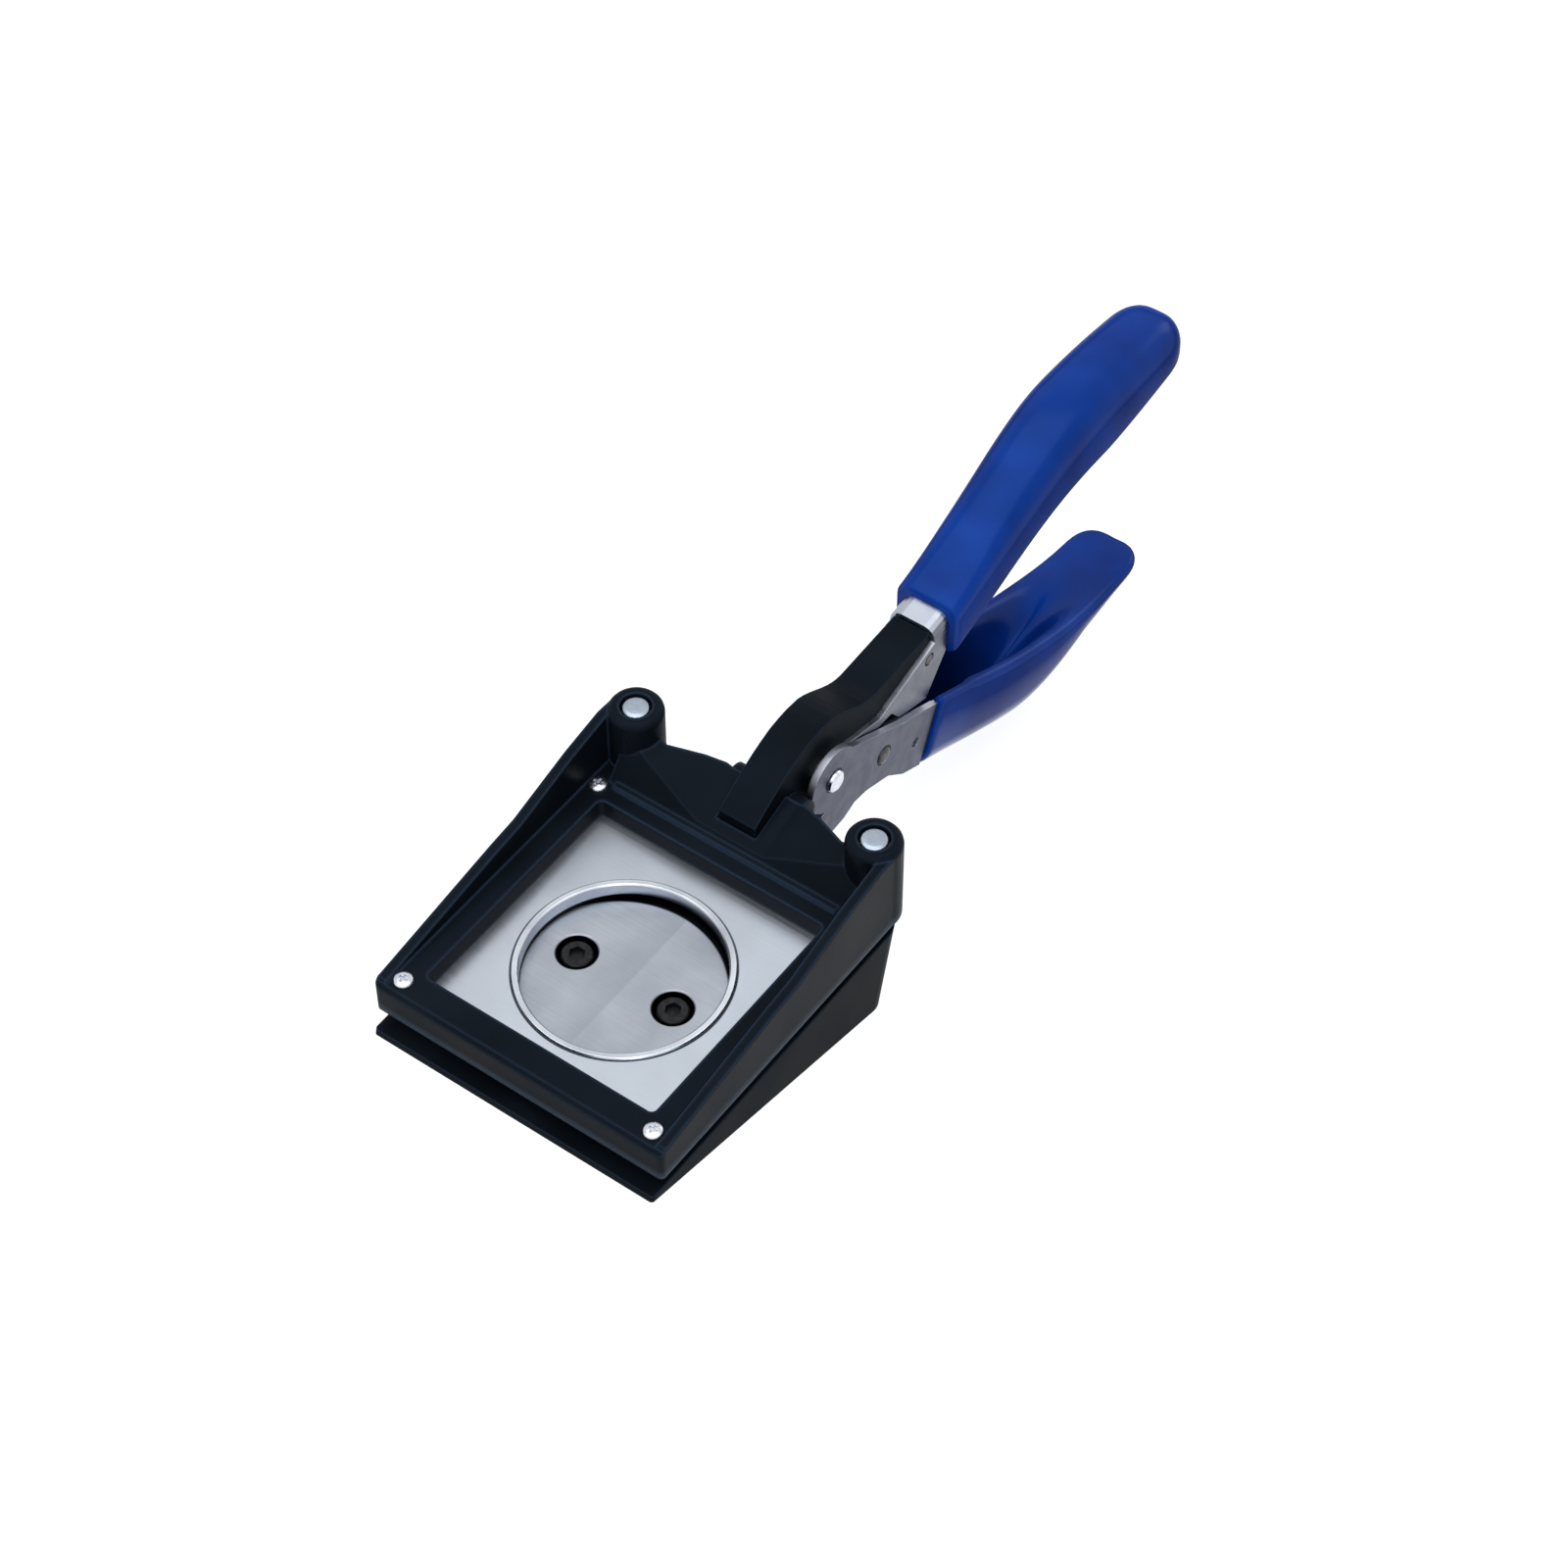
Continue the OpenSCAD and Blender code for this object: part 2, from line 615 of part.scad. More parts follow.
module punch_screws() {
    hex_af = 0.8 * socket_d;
    color([0.1, 0.1, 0.11]) stand() for (s = [-1, 1])
        translate([s * socket_pitch / 2, 0, socket_z]) difference() {
            union() {
                cylinder(h = socket_head_h - screw_bevel, r = socket_head_d / 2);
                translate([0, 0, socket_head_h - screw_bevel])
                    cylinder(h = screw_bevel, r1 = socket_head_d / 2, r2 = socket_head_d / 2 - screw_bevel);
                translate([0, 0, -socket_len]) cylinder(h = socket_len + 0.2, r = socket_d / 2);
            }
            translate([0, 0, socket_head_h / 2])
                cylinder(h = socket_head_h, r = hex_af / sqrt(3), $fn = 6);
        }
}

module punch_dowels() {
    color([0.7, 0.71, 0.73]) stand() for (s = [-1, 1])
        translate([0, s * dowel_pitch / 2, seat_z - dowel_d + fit_gap])
            cylinder(h = 2 * dowel_d - 2 * fit_gap, r = dowel_d / 2);
}

// Headed posts, held in the base, that guide the frame and stop it at the top
module guide_posts() {
    color([0.8, 0.81, 0.83]) stand() for (s = [-1, 1]) translate([s * post_x, post_y, 0]) {
        translate([0, 0, base_z - post_depth + fit_gap])
            cylinder(h = cap_z - base_z + post_depth, r = post_d / 2);
        translate([0, 0, cap_z + fit_gap]) {
            cylinder(h = cap_h - cap_dome, r = cap_d / 2);
            translate([0, 0, cap_h - cap_dome]) dome(cap_d / 2, cap_dome);
        }
    }
}

// Frame that carries the die: floor with a window, walls, bosses, deck and lugs
module die_frame() {
    color([0.09, 0.1, 0.11]) stand() difference() {
        union() {
            difference() {
                union() {
                    translate([0, 0, -skirt_h]) round_slab(-head_half, head_half, head_y0,
                        post_y + frame_corner, frame_corner, skirt_h + floor_t);
                    frame_walls();
                }
                translate([0, head_y0, floor_t + wall_front_h]) rotate([45, 0, 0])
                    cube([far, sqrt(2) * front_bevel, sqrt(2) * front_bevel], center = true);
                translate([-far / 2, post_y, -far / 2]) cube([far, far, far]);
            }
            frame_deck();
            translate([-ledge_half, deck_y0 - ledge_w, floor_t - over])
                cube([2 * ledge_half, ledge_w + over, ledge_h + over]);
            for (s = [-1, 1]) {
                translate([s * post_x, post_y, 0]) boss();
                translate([s > 0 ? slot_half : -slot_half - lug_t, thrust_y, thrust_z]) {
                    cross(0, lug_t, lug_d / 2);
                    translate([0, -lug_root, over / 4 - lug_d / 2])
                        cube([lug_t, lug_root, lug_d - over / 2]);
                }
            }
        }
        translate([0, 0, -far / 2]) round_slab(-window_half, window_half, window_y0, window_y1,
            window_corner, far);
        translate([-plate_half - fit_gap, plate_y0 - fit_gap, -far])
            cube([2 * (plate_half + fit_gap), plate_y1 - plate_y0 + 2 * fit_gap, far]);
        translate([-slot_half, finger_y - slot_gap, -far / 2]) cube([2 * slot_half, far, far]);
        translate([0, thrust_y, thrust_z]) cross(-far, far, thrust_d / 2 + fit_gap);
        for (s = [-1, 1]) translate([s * post_x, post_y, 0]) {
            translate([0, 0, -far]) cylinder(h = far + pocket_h, r = pocket_d / 2);
            cylinder(h = far, r = bush_d / 2 + fit_gap);
            translate([0, 0, cap_z]) cylinder(h = far, r = cap_bore_d / 2);
        }
        plate_screw_places() translate([0, 0, -over])
            cylinder(h = far, r = plate_screw_d / 2 + fit_gap);
    }
}

// Guide boss from the skirt up, with its top edge rounded
round_steps = 4;
module boss() {
    flat_r = boss_d / 2 - boss_round;
    edge = [for (i = [0:round_steps]) let (a = 90 * i / round_steps)
        [flat_r + boss_round * cos(a), boss_h - boss_round + boss_round * sin(a)]];
    rotate_extrude() polygon(concat([[0, -skirt_h], [boss_d / 2, -skirt_h]], edge, [[0, boss_h]]));
}

// Side walls, which rise in two ramps from the front corners to the bosses
wall_mid_y = window_shift + 7;
wall_line = [
    [head_y0 + frame_corner, floor_t - over],
    [head_y0 + frame_corner, floor_t + wall_front_h],
    [head_y0 + 2 * frame_corner, floor_t + wall_front_h],
    [wall_mid_y - 5, floor_t + wall_mid_h - 0.3],
    [wall_mid_y + 5, floor_t + wall_mid_h + 0.8],
    [deck_y0 - 8, boss_h - 4],
    [post_y - boss_d / 2 + over, boss_h - 0.6 * boss_round],
    [post_y + over, boss_h - 0.8 * boss_round],
    [post_y + over, floor_t - over]];
module frame_walls() {
    side_solid(wall_line, -head_half, wall_t - head_half);
    side_solid(wall_line, head_half - wall_t, head_half);
}

// Deck behind the window: a leaning front, a trough between the bosses and a rounded back
module frame_deck() {
    rise = boss_h - boss_round - over - floor_t;
    wide = post_x - 5;
    back = [
        [deck_y0, -skirt_h],
        [deck_y0, floor_t],
        [deck_y0 + rise * tan(deck_lean), floor_t + rise],
        [deck_y1 + over, floor_t + rise],
        [deck_y1 + over, -skirt_h]];
    intersection() {
        difference() {
            side_solid(back, -post_x, post_x);
            deck_trough();
        }
        translate([0, 0, -far / 2]) linear_extrude(far) polygon([
            [-post_x - over, deck_y0 - over], [post_x + over, deck_y0 - over],
            [post_x + over, post_y + over], [post_x - over, post_y + over],
            [wide - 5, post_y], [deck_flat - 3, deck_y1 - 1.6], [deck_flat / 2 + 2, deck_y1],
            [-deck_flat / 2 - 2, deck_y1], [3 - deck_flat, deck_y1 - 1.6], [5 - wide, post_y],
            [over - post_x, post_y + over], [-post_x - over, post_y + over]]);
    }
}

module deck_trough() {
    side = 2 * post_x;
    translate([0, deck_y0, floor_t + deck_low]) rotate([deck_rise, 0, 0])
        translate([0, -far / 8, 0]) rotate([90, 0, 180]) linear_extrude(far / 2) polygon([
            [-deck_flat / 2, 0], [deck_flat / 2, 0],
            [deck_flat / 2 + side, side * tan(deck_slope)], [deck_flat / 2 + side, far / 4],
            [-deck_flat / 2 - side, far / 4],
            [-deck_flat / 2 - side, side * tan(deck_slope)]]);
}

module plate_screw_places() {
    for (x = [-screw_x, screw_x]) for (y = [screw_y0, screw_y1]) translate([x, y, 0]) children();
}

module die_plate() {
    color([0.74, 0.77, 0.81]) stand() difference() {
        translate([-plate_half, plate_y0, -plate_t])
            cube([2 * plate_half, plate_y1 - plate_y0, plate_t]);
        translate([0, 0, -plate_t - over])
            cylinder(h = plate_t + 2 * over, r = ring_r + fit_gap, $fn = 96);
        plate_screw_places() translate([0, 0, -plate_t - over])
            cylinder(h = plate_t + 2 * over, r = plate_screw_d / 2 + fit_gap);
    }
}

// Hardened ring: a lip above the plate, bevelled outside, sharp at the lower inner edge
module die_ring() {
    color([0.88, 0.89, 0.9]) stand() rotate_extrude($fn = 96) polygon([
        [hole_r, -plate_t], [ring_r, -plate_t], [ring_r, ring_lip / 2],
        [ring_r - ring_lip / 2, ring_lip], [hole_r + ring_lip / 2, ring_lip],
        [hole_r, ring_lip / 2]]);
}

module die_screws() {
    color([0.78, 0.79, 0.8]) stand() plate_screw_places() {
        translate([0, 0, fit_gap - plate_t])
            cylinder(h = plate_t + floor_t, r = plate_screw_d / 2);
        difference() {
            translate([0, 0, floor_t]) dome(plate_screw_head / 2, plate_screw_rise);
            for (a = [0, 90]) translate([0, 0, floor_t + plate_screw_rise]) rotate([0, 0, a])
                cube([plate_screw_head / 2, cross_slot_w, plate_screw_rise], center = true);
        }
    }
}

module guide_bushes() {
    color([0.72, 0.55, 0.28]) stand() for (s = [-1, 1]) translate([s * post_x, post_y, 0])
        difference() {
            translate([0, 0, pocket_h]) cylinder(h = cap_z - pocket_h, r = bush_d / 2);
            cylinder(h = far, r = post_d / 2 + run_gap);
        }
}

// Pin in the frame's lugs, which the tongue pushes down
module thrust_pin() {
    color([0.7, 0.71, 0.73]) stand() translate([0, thrust_y, thrust_z])
        cross(-slot_half - lug_t, slot_half + lug_t, thrust_d / 2);
}

// Return springs: one tube of 6 sides and 8 rings a curl, with a straight end at each seat
spring_rings = 8;
tube_sides = 6;
spring_rise = (spring_z1 - spring_z0) / (spring_curls * spring_rings);
function coil_at(k) = [spring_r * cos(360 * k / spring_rings),
    spring_r * sin(360 * k / spring_rings), spring_z0 + k * spring_rise];
function coil_along(k) = [-sin(360 * k / spring_rings), cos(360 * k / spring_rings), 0];
coil_last = spring_curls * spring_rings;
coil_path = concat([coil_at(0) - spring_wire * coil_along(0)],
    [for (k = [0:coil_last]) coil_at(k)],
    [coil_at(coil_last) + spring_wire * coil_along(coil_last)]);
function coil_out(i) = let (k = min(coil_last, max(0, i - 1)))
    [cos(360 * k / spring_rings), sin(360 * k / spring_rings), 0];
coil_points = [for (i = [0:len(coil_path) - 1]) for (j = [0:tube_sides - 1])
    coil_path[i] + wire_r * (cos(360 * j / tube_sides) * coil_out(i)
        + [0, 0, sin(360 * j / tube_sides)])];
coil_gap = min([for (i = [0:len(coil_path) - 1]) for (j = [i + 4:1:len(coil_path) - 1])
    norm(coil_path[i] - coil_path[j])]) - spring_wire;
echo(least_gap_of_spring_to_itself = coil_gap);

module return_spring(s) {
    rows = len(coil_path);
    color([0.6, 0.61, 0.63]) stand() translate([s * post_x, post_y, 0])
        polyhedron(points = coil_points, faces = concat(
            [for (i = [0:rows - 2]) for (j = [0:tube_sides - 1]) for (half = [0, 1])
                let (a = i * tube_sides + j)
                let (b = i * tube_sides + (j + 1) % tube_sides)
                half == 0 ? [a, b + tube_sides, b] : [a, a + tube_sides, b + tube_sides]],
            [for (j = [1:tube_sides - 2]) [0, j, j + 1]],
            [for (j = [1:tube_sides - 2]) let (e = (rows - 1) * tube_sides)
                [e, e + j + 1, e + j]]));
}

module return_spring_left() {
    return_spring(-1);
}

module return_spring_right() {
    return_spring(1);
}

module arm_rivet_place() {
    translate([0, web_y - 2.5, pivot_h + web_h - upper_depth / 2 - 2.8]) children();
}

// Fixed handle of folded steel: two side strips from the pivot, and a channel under the grip
strip_r = 6.4;
strip_neck_h = 0.6;
strip_line = [
    [pivot_y, pivot_h + strip_r],
    [neck_y, pivot_h + strip_neck_h],
    [web_y + over, upper_web(web_y) - fold_share * channel_out - side_gap],
    [upper_mouth - over, upper_web(web_y) - fold_share * channel_out - side_gap],
    [upper_mouth - over, upper_web(web_y) - upper_depth],
    [web_y - 3.4, pivot_h - 11],
    [link_y + 10.5, pivot_h - 7.4],
    [link_y + 6.5, arm_belly - 1.3],
    [link_y - 5, arm_belly - 1.3],
    [pivot_y, pivot_h - strip_r]];
module upper_channel() {
    color([0.82, 0.84, 0.87]) stand() difference() {
        union() {
            loft(concat([upper_ring(web_y, 0, steel_lip)],
                [for (y = upper_run) upper_ring(y, 0, steel_lip)]), false);
            for (x = [-channel_out, channel_in]) {
                side_solid(strip_line, x, x + channel_t);
                translate([0, pivot_y, pivot_h]) cross(x, x + channel_t, strip_r);
            }
        }
        translate([0, pivot_y, pivot_h]) cross(-far, far, pivot_d / 2 + fit_gap);
        arm_rivet_place() cross(-far, far, rivet_d / 2 + fit_gap);
    }
}

module upper_grip() {
    color([0.12, 0.25, 0.62]) stand() difference() {
        loft(concat([for (y = upper_run) upper_ring(y, vinyl_t, vinyl_lip)],
            [for (y = upper_tips) upper_ring(y, vinyl_t, vinyl_lip)]), false);
        loft(concat([upper_ring(upper_mouth - over, fit_gap, steel_lip)],
            [for (y = upper_run) let (v = y < upper_steel_end ? y : y + fit_gap)
                upper_ring(v, fit_gap, steel_lip)]), false);
    }
}

// Flush rivet through channel and arm, with a bevel at each end
module arm_rivet() {
    color([0.7, 0.71, 0.73]) stand() arm_rivet_place() {
        cross(head_sink - channel_out, channel_out - head_sink, rivet_d / 2);
        for (s = [-1, 1]) translate([s * (channel_out - head_sink), 0, 0]) rotate([0, s * 90, 0])
            cylinder(h = head_sink, r1 = rivet_d / 2, r2 = rivet_d / 2 - head_ring);
    }
}

// Pivot: a headed pin and the clip in its groove
module pivot_pin() {
    reach = lever_out + side_gap;
    color([0.62, 0.63, 0.66]) stand() translate([0, pivot_y, pivot_h]) difference() {
        union() {
            cross(-reach - clip_t - clip_ring, reach, pivot_d / 2);
            translate([lever_out - head_sink + run_gap, 0, 0]) rotate([0, 90, 0])
                dome(pivot_head_d / 2, pivot_head_h);
        }
        difference() {
            cross(-reach - clip_t, -reach, pivot_d);
            cross(-reach - clip_t - over, over - reach, pivot_d / 2 - groove_in);
        }
    }
}

module pivot_clip() {
    reach = lever_out + side_gap;
    color([0.3, 0.31, 0.33]) stand() translate([0, pivot_y, pivot_h]) difference() {
        cross(-reach - clip_t + fit_gap, -reach - fit_gap, pivot_d / 2 + clip_ring);
        cross(-far, far, pivot_d / 2 - groove_in + fit_gap);
        translate([-far / 2, -0.3 * pivot_d, -far]) cube([far, 0.6 * pivot_d, far]);
    }
}

// Lever of folded steel: two plates on the pivot with a heel, and a trough under the grip
function lower_edge(y, v) = let (z = lower_rim(y) - lower_deep(y) + v)
    [y + lower_shear * (v - lower_deep(y) / 2), z];
plate_back = lower_mouth - over;
// Punched hole in front of the grip
punched_y = link_y + 15.2;
punched_z = link_z - 8.9;
punched_r = rivet_d / 2 - 0.4;
lever_line = [
    [pivot_y + 4.4, pivot_h + 7.6],
    [pivot_y + 22.4, pivot_h - 1.8],
    [pivot_y + 31.4, pivot_h - 6.5],
    lower_edge(lower_y0, lower_deep(lower_y0)),
    lower_edge(plate_back, lower_deep(plate_back)),
    lower_edge(plate_back, 0),
    lower_edge(lower_y0, 0),
    [pivot_y + 25.4, pivot_h - 22.2],
    [pivot_y + 15, pivot_h - 18.5],
    [pivot_y + 9.6, pivot_h - 18],
    [pivot_y + 4.6, pivot_h - 20],
    [heel_y + 2, pivot_h - 20.6],
    [heel_y, pivot_h - 18],
    [heel_y, base_z + pivot_h - 0.5],
    [heel_y + 2, pivot_h - 9.4]];
module lever_channel() {
    color([0.45, 0.46, 0.52]) stand() difference() {
        union() {
            loft([for (y = concat([lower_y0], lower_run)) lower_ring(y, 0, steel_lip)], true);
            for (x = [-lever_out, lever_in]) {
                side_solid(lever_line, x, x + lever_t);
                translate([0, pivot_y, pivot_h]) cross(x, x + lever_t, lever_head_d / 2);
            }
        }
        translate([0, pivot_y, pivot_h]) {
            cross(-far, far, pivot_d / 2 + run_gap);
            cross(lever_out - head_sink, far, pivot_head_d / 2 + head_ring);
        }
        translate([0, link_y, link_z]) {
            cross(-far, far, rivet_d / 2 + fit_gap);
            cross(lever_out - head_sink, far, rivet_head_r + head_ring);
            cross(-far, head_sink - lever_out, rivet_head_r + head_ring);
        }
        translate([0, punched_y, punched_z]) cross(-far, far, punched_r);
    }
}

module lower_grip() {
    color([0.12, 0.25, 0.62]) stand() difference() {
        loft([for (y = concat(lower_run, lower_tips)) lower_ring(y, vinyl_t, vinyl_lip)], true);
        loft(concat([lower_ring(lower_mouth - over, fit_gap, steel_lip)],
            [for (y = lower_run) let (v = y < lower_steel_end ? y : y + fit_gap)
                lower_ring(v, fit_gap, steel_lip)]), true);
        // the closing lever takes the fixed handle between its bare walls
        translate([-nest_half, lower_mouth - nest_len, pivot_h - lower_drop - nest_depth])
            cube([2 * nest_half, 2 * nest_len, far]);
    }
}

// Hard tongue between the plates: turns on the pivot and pushes the thrust pin
eye_wall = 4;
link_wall = 2;
spacer_wall = 1.4;
module thrust_tongue() {
    nose_deg = asin(stroke / 2 / thrust_arm);
    eye_r = pivot_d / 2 + eye_wall;
    color([0.5, 0.51, 0.54]) stand() translate([-tongue_half, pivot_y, pivot_h])
        rotate([90, 0, 90]) difference() {
            linear_extrude(tongue_t) difference() {
                union() {
                    hull() {
                        circle(eye_r);
                        rotate(180 - nose_deg) translate([thrust_arm, 0]) circle(nose_r);
                    }
                    hull() {
                        circle(eye_r);
                        translate([link_back, -link_down]) circle(rivet_d / 2 + link_wall);
                    }
                }
                circle(pivot_d / 2 + run_gap);
                translate([link_back, -link_down]) circle(rivet_d / 2 + fit_gap);
                rotate(180 - nose_deg) for (x = [-1, 1]) translate([thrust_arm + x * slot_gap, 0])
                    circle(thrust_d / 2 + run_gap);
                rotate(180 - nose_deg) translate([thrust_arm - slot_gap, -thrust_d / 2 - run_gap])
                    square([2 * slot_gap, thrust_d + 2 * run_gap]);
            }
        }
}

// Rivet through the plates and the tongue, with low domed heads
module tongue_rivet() {
    color([0.6, 0.61, 0.64]) stand() translate([0, link_y, link_z]) {
        cross(-lever_out, lever_out, rivet_d / 2);
        for (s = [-1, 1]) translate([s * (lever_out - head_sink + fit_gap), 0, 0])
            rotate([0, s * 90, 0]) dome(rivet_head_r, 2 * head_sink);
    }
}

module tongue_spacers() {
    color([0.6, 0.61, 0.64]) stand() translate([0, link_y, link_z])
        for (x = [tongue_half + run_gap, -lever_in + run_gap]) difference() {
            cross(x, x + lever_in - tongue_half - 2 * run_gap, rivet_d / 2 + spacer_wall);
            cross(-far, far, rivet_d / 2 + fit_gap);
        }
}

base_casting();
punch();
punch_screws();
punch_dowels();
guide_posts();
return_spring_left();
return_spring_right();
die_frame();
die_plate();
die_ring();
die_screws();
guide_bushes();
thrust_pin();
upper_channel();
upper_grip();
arm_rivet();
pivot_pin();
pivot_clip();
lever_channel();
thrust_tongue();
tongue_rivet();
tongue_spacers();
lower_grip();
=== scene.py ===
"""Looks of a badge circle cutter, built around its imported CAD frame.

The castings, the cutting set and the handle steel keep their CAD meshes and get node materials.
The two dipped vinyl grips and the two return springs are new smooth meshes that stand for theirs.
Sizes are in millimetres where nothing else is said, and every mesh is written in metres.
"""

import json
import logging
from dataclasses import dataclass, field, replace
from enum import Enum
from math import atan2, cos, pi, radians, sin
from typing import Any

import bpy
from mathutils import Matrix, Vector


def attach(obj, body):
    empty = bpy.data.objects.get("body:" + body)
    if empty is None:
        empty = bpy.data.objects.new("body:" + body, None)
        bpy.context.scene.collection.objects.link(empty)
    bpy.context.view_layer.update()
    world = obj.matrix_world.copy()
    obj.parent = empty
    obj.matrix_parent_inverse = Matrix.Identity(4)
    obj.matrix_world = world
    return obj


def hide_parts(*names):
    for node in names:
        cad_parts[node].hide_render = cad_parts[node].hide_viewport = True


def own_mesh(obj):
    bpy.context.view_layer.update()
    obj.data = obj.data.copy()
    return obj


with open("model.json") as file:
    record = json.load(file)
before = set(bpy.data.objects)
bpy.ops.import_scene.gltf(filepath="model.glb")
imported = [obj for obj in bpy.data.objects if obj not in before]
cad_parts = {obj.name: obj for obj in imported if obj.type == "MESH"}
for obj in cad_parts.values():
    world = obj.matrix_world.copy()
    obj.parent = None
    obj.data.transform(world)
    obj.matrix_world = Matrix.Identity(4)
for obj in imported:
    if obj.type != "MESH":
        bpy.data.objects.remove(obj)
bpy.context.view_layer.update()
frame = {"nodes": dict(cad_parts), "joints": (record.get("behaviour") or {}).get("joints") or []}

MM = 0.001
PHOTO_SIDE = 1600
WHITE = (1.0, 1.0, 1.0, 1.0)
# name of the points' share of painted shade in a mesh
TROUGH_SHADE = "trough_shade"
log = logging.getLogger("badge_cutter")

Tree = bpy.types.NodeTree
Node = bpy.types.Node
Socket = bpy.types.NodeSocket
Span = tuple[float, float]
Faces = list[tuple[int, ...]]


def joint(name: str) -> dict[str, Any]:
    """Gives a joint of the frame."""
    return next(j for j in frame["joints"] if j["name"] == name)


def clamp(share: float) -> float:
    """Keeps a share between 0 and 1."""
    return min(1.0, max(0.0, share))


def ease(share: float) -> float:
    """Gives a smooth step from 0 to 1."""
    c = clamp(share)
    return c * c * (3 - 2 * c)


def ramp(place: float, start: float, length: float) -> float:
    """Gives a smooth step from 0 to 1 that begins at a start and takes a length."""
    return ease((place - start) / length)


def mix(first: float, second: float, share: float) -> float:
    """Gives a value between two, by its share of the second."""
    return first + (second - first) * share


def quarter(steps: int) -> list[float]:
    """Gives the angles of a quarter turn from 0 on, in equal steps."""
    return [pi / 2 * i / steps for i in range(steps + 1)]


@dataclass(frozen=True)
class DieAxes:
    """Axes of the die head with Z along the posts, tilted about X by an angle in radians."""

    tilt: float

    @classmethod
    def from_frame(cls) -> "DieAxes":
        """Reads the tilt from the axis along which the die head slides."""
        axis = joint("die_slide")["axis"]
        return cls(atan2(axis[1], -axis[2]))

    def to_world(self, point: Vector) -> Vector:
        """Gives a point of the die axes in the frame."""
        return Matrix.Rotation(self.tilt, 3, "X") @ point

    def from_world(self, point: Vector) -> Vector:
        """Gives a point of the frame in the die axes."""
        return Matrix.Rotation(-self.tilt, 3, "X") @ point

    def box(self, node: str) -> tuple[Vector, ...]:
        """Gives the lowest and highest corner of a CAD node in the die axes, in metres."""
        points = [self.from_world(v.co) for v in frame["nodes"][node].data.vertices]
        return tuple(Vector([end(p[i] for p in points) for i in range(3)]) for end in (min, max))

    def hole(self) -> Vector:
        """Gives the middle of the cutting hole on the die plate's upper face, in metres."""
        low, high = self.box("die_ring")
        return Vector(((low.x + high.x) / 2, (low.y + high.y) / 2, self.box("die_plate")[1].z))


AXES = DieAxes.from_frame()


def hex_to_linear(code: str) -> tuple[float, ...]:
    """Turns an sRGB hex colour such as "#1d3c9a" into linear light with an alpha of 1."""
    parts = [int(code[i:i + 2], 16) / 255 for i in (1, 3, 5)]
    return (*(c / 12.92 if c <= 0.04045 else ((c + 0.055) / 1.055) ** 2.4 for c in parts), 1.0)


def fresh_tree(owner: bpy.types.Material | bpy.types.World) -> Tree:
    """Empties a node tree.

    Args:
        owner: Material or world that has the tree.

    Returns:
        The empty tree.
    """
    owner.use_nodes = True
    owner.node_tree.nodes.clear()
    return owner.node_tree


def add_node(tree: Tree, kind: str, settings: dict[Any, Any] | None = None) -> Node:
    """Adds a node to a tree with its settings and links.

    Args:
        tree: Tree that gets the node.
        kind: Type name of the node, after ShaderNode.
        settings: Values by property name, input name or input number. A socket is linked.

    Returns:
        The new node.
    """
    node = tree.nodes.new("ShaderNode" + kind)
    for key, value in (settings or {}).items():
        if isinstance(value, Socket):
            tree.links.new(value, node.inputs[key])
        elif isinstance(key, str) and key not in node.inputs:
            setattr(node, key, value)
        else:
            node.inputs[key].default_value = value
    return node


def number(tree: Tree, operation: str, *values: Any) -> Socket:
    """Adds a node that computes with numbers, and gives its socket."""
    settings = {"operation": operation} | dict(enumerate(values))
    return add_node(tree, "Math", settings).outputs["Value"]


def vector(tree: Tree, operation: str, *values: Any) -> bpy.types.NodeOutputs:
    """Adds a node that computes with vectors, and gives its outputs."""
    settings = {"operation": operation} | dict(enumerate(values))
    return add_node(tree, "VectorMath", settings).outputs


def component(tree: Tree, whole: Socket, axis: str) -> Socket:
    """Adds a node that takes one component of a vector, and gives its socket."""
    return add_node(tree, "SeparateXYZ", {"Vector": whole}).outputs[axis]


def normal(tree: Tree, name: str = "Normal") -> Socket:
    """Adds the surface's normal, and gives its socket."""
    return add_node(tree, "NewGeometry").outputs[name]


def own_place(tree: Tree) -> Socket:
    """Adds the place in the frame, in metres, and gives its socket."""
    return add_node(tree, "TexCoord").outputs["Object"]


def die_place(tree: Tree) -> Socket:
    """Adds the place from the hole's middle in the die axes, in metres, and gives its socket."""
    turn = {"Vector": own_place(tree), "Rotation": (-AXES.tilt, 0, 0), "Location": -AXES.hole()}
    return add_node(tree, "Mapping", turn).outputs["Vector"]


def grain(tree: Tree, size_mm: float, detail: float = 3.0) -> Socket:
    """Adds a noise pattern of a grain's real size, and gives its factor from 0 to 1."""
    settings = {"Vector": own_place(tree), "Scale": 1 / (size_mm * MM), "Detail": detail}
    return add_node(tree, "TexNoise", settings).outputs["Fac"]


def spread(
    tree: Tree, value: Socket, low: float, high: float, start: float = 0.3, end: float = 0.7,
) -> Socket:
    """Maps a pattern from start to end on values from low to high, and gives its socket."""
    ends = {"From Min": start, "From Max": end, "To Min": low, "To Max": high}
    return add_node(tree, "MapRange", {"Value": value} | ends).outputs["Result"]


def tint(tree: Tree, share: Socket, first: str | Socket, second: str) -> Socket:
    """Mixes two colours.

    Args:
        tree: Tree of the material.
        share: Socket with the second colour's share.
        first: Hex colour, or a socket with a colour.
        second: Hex colour.

    Returns:
        Socket of the mixed colour.
    """
    # the colours' sockets go by number, as others have the same names
    first_input, second_input, result = 6, 7, 2
    start = hex_to_linear(first) if isinstance(first, str) else first
    settings = {"data_type": "RGBA", 0: share, first_input: start, second_input: hex_to_linear(second)}
    return add_node(tree, "Mix", settings).outputs[result]


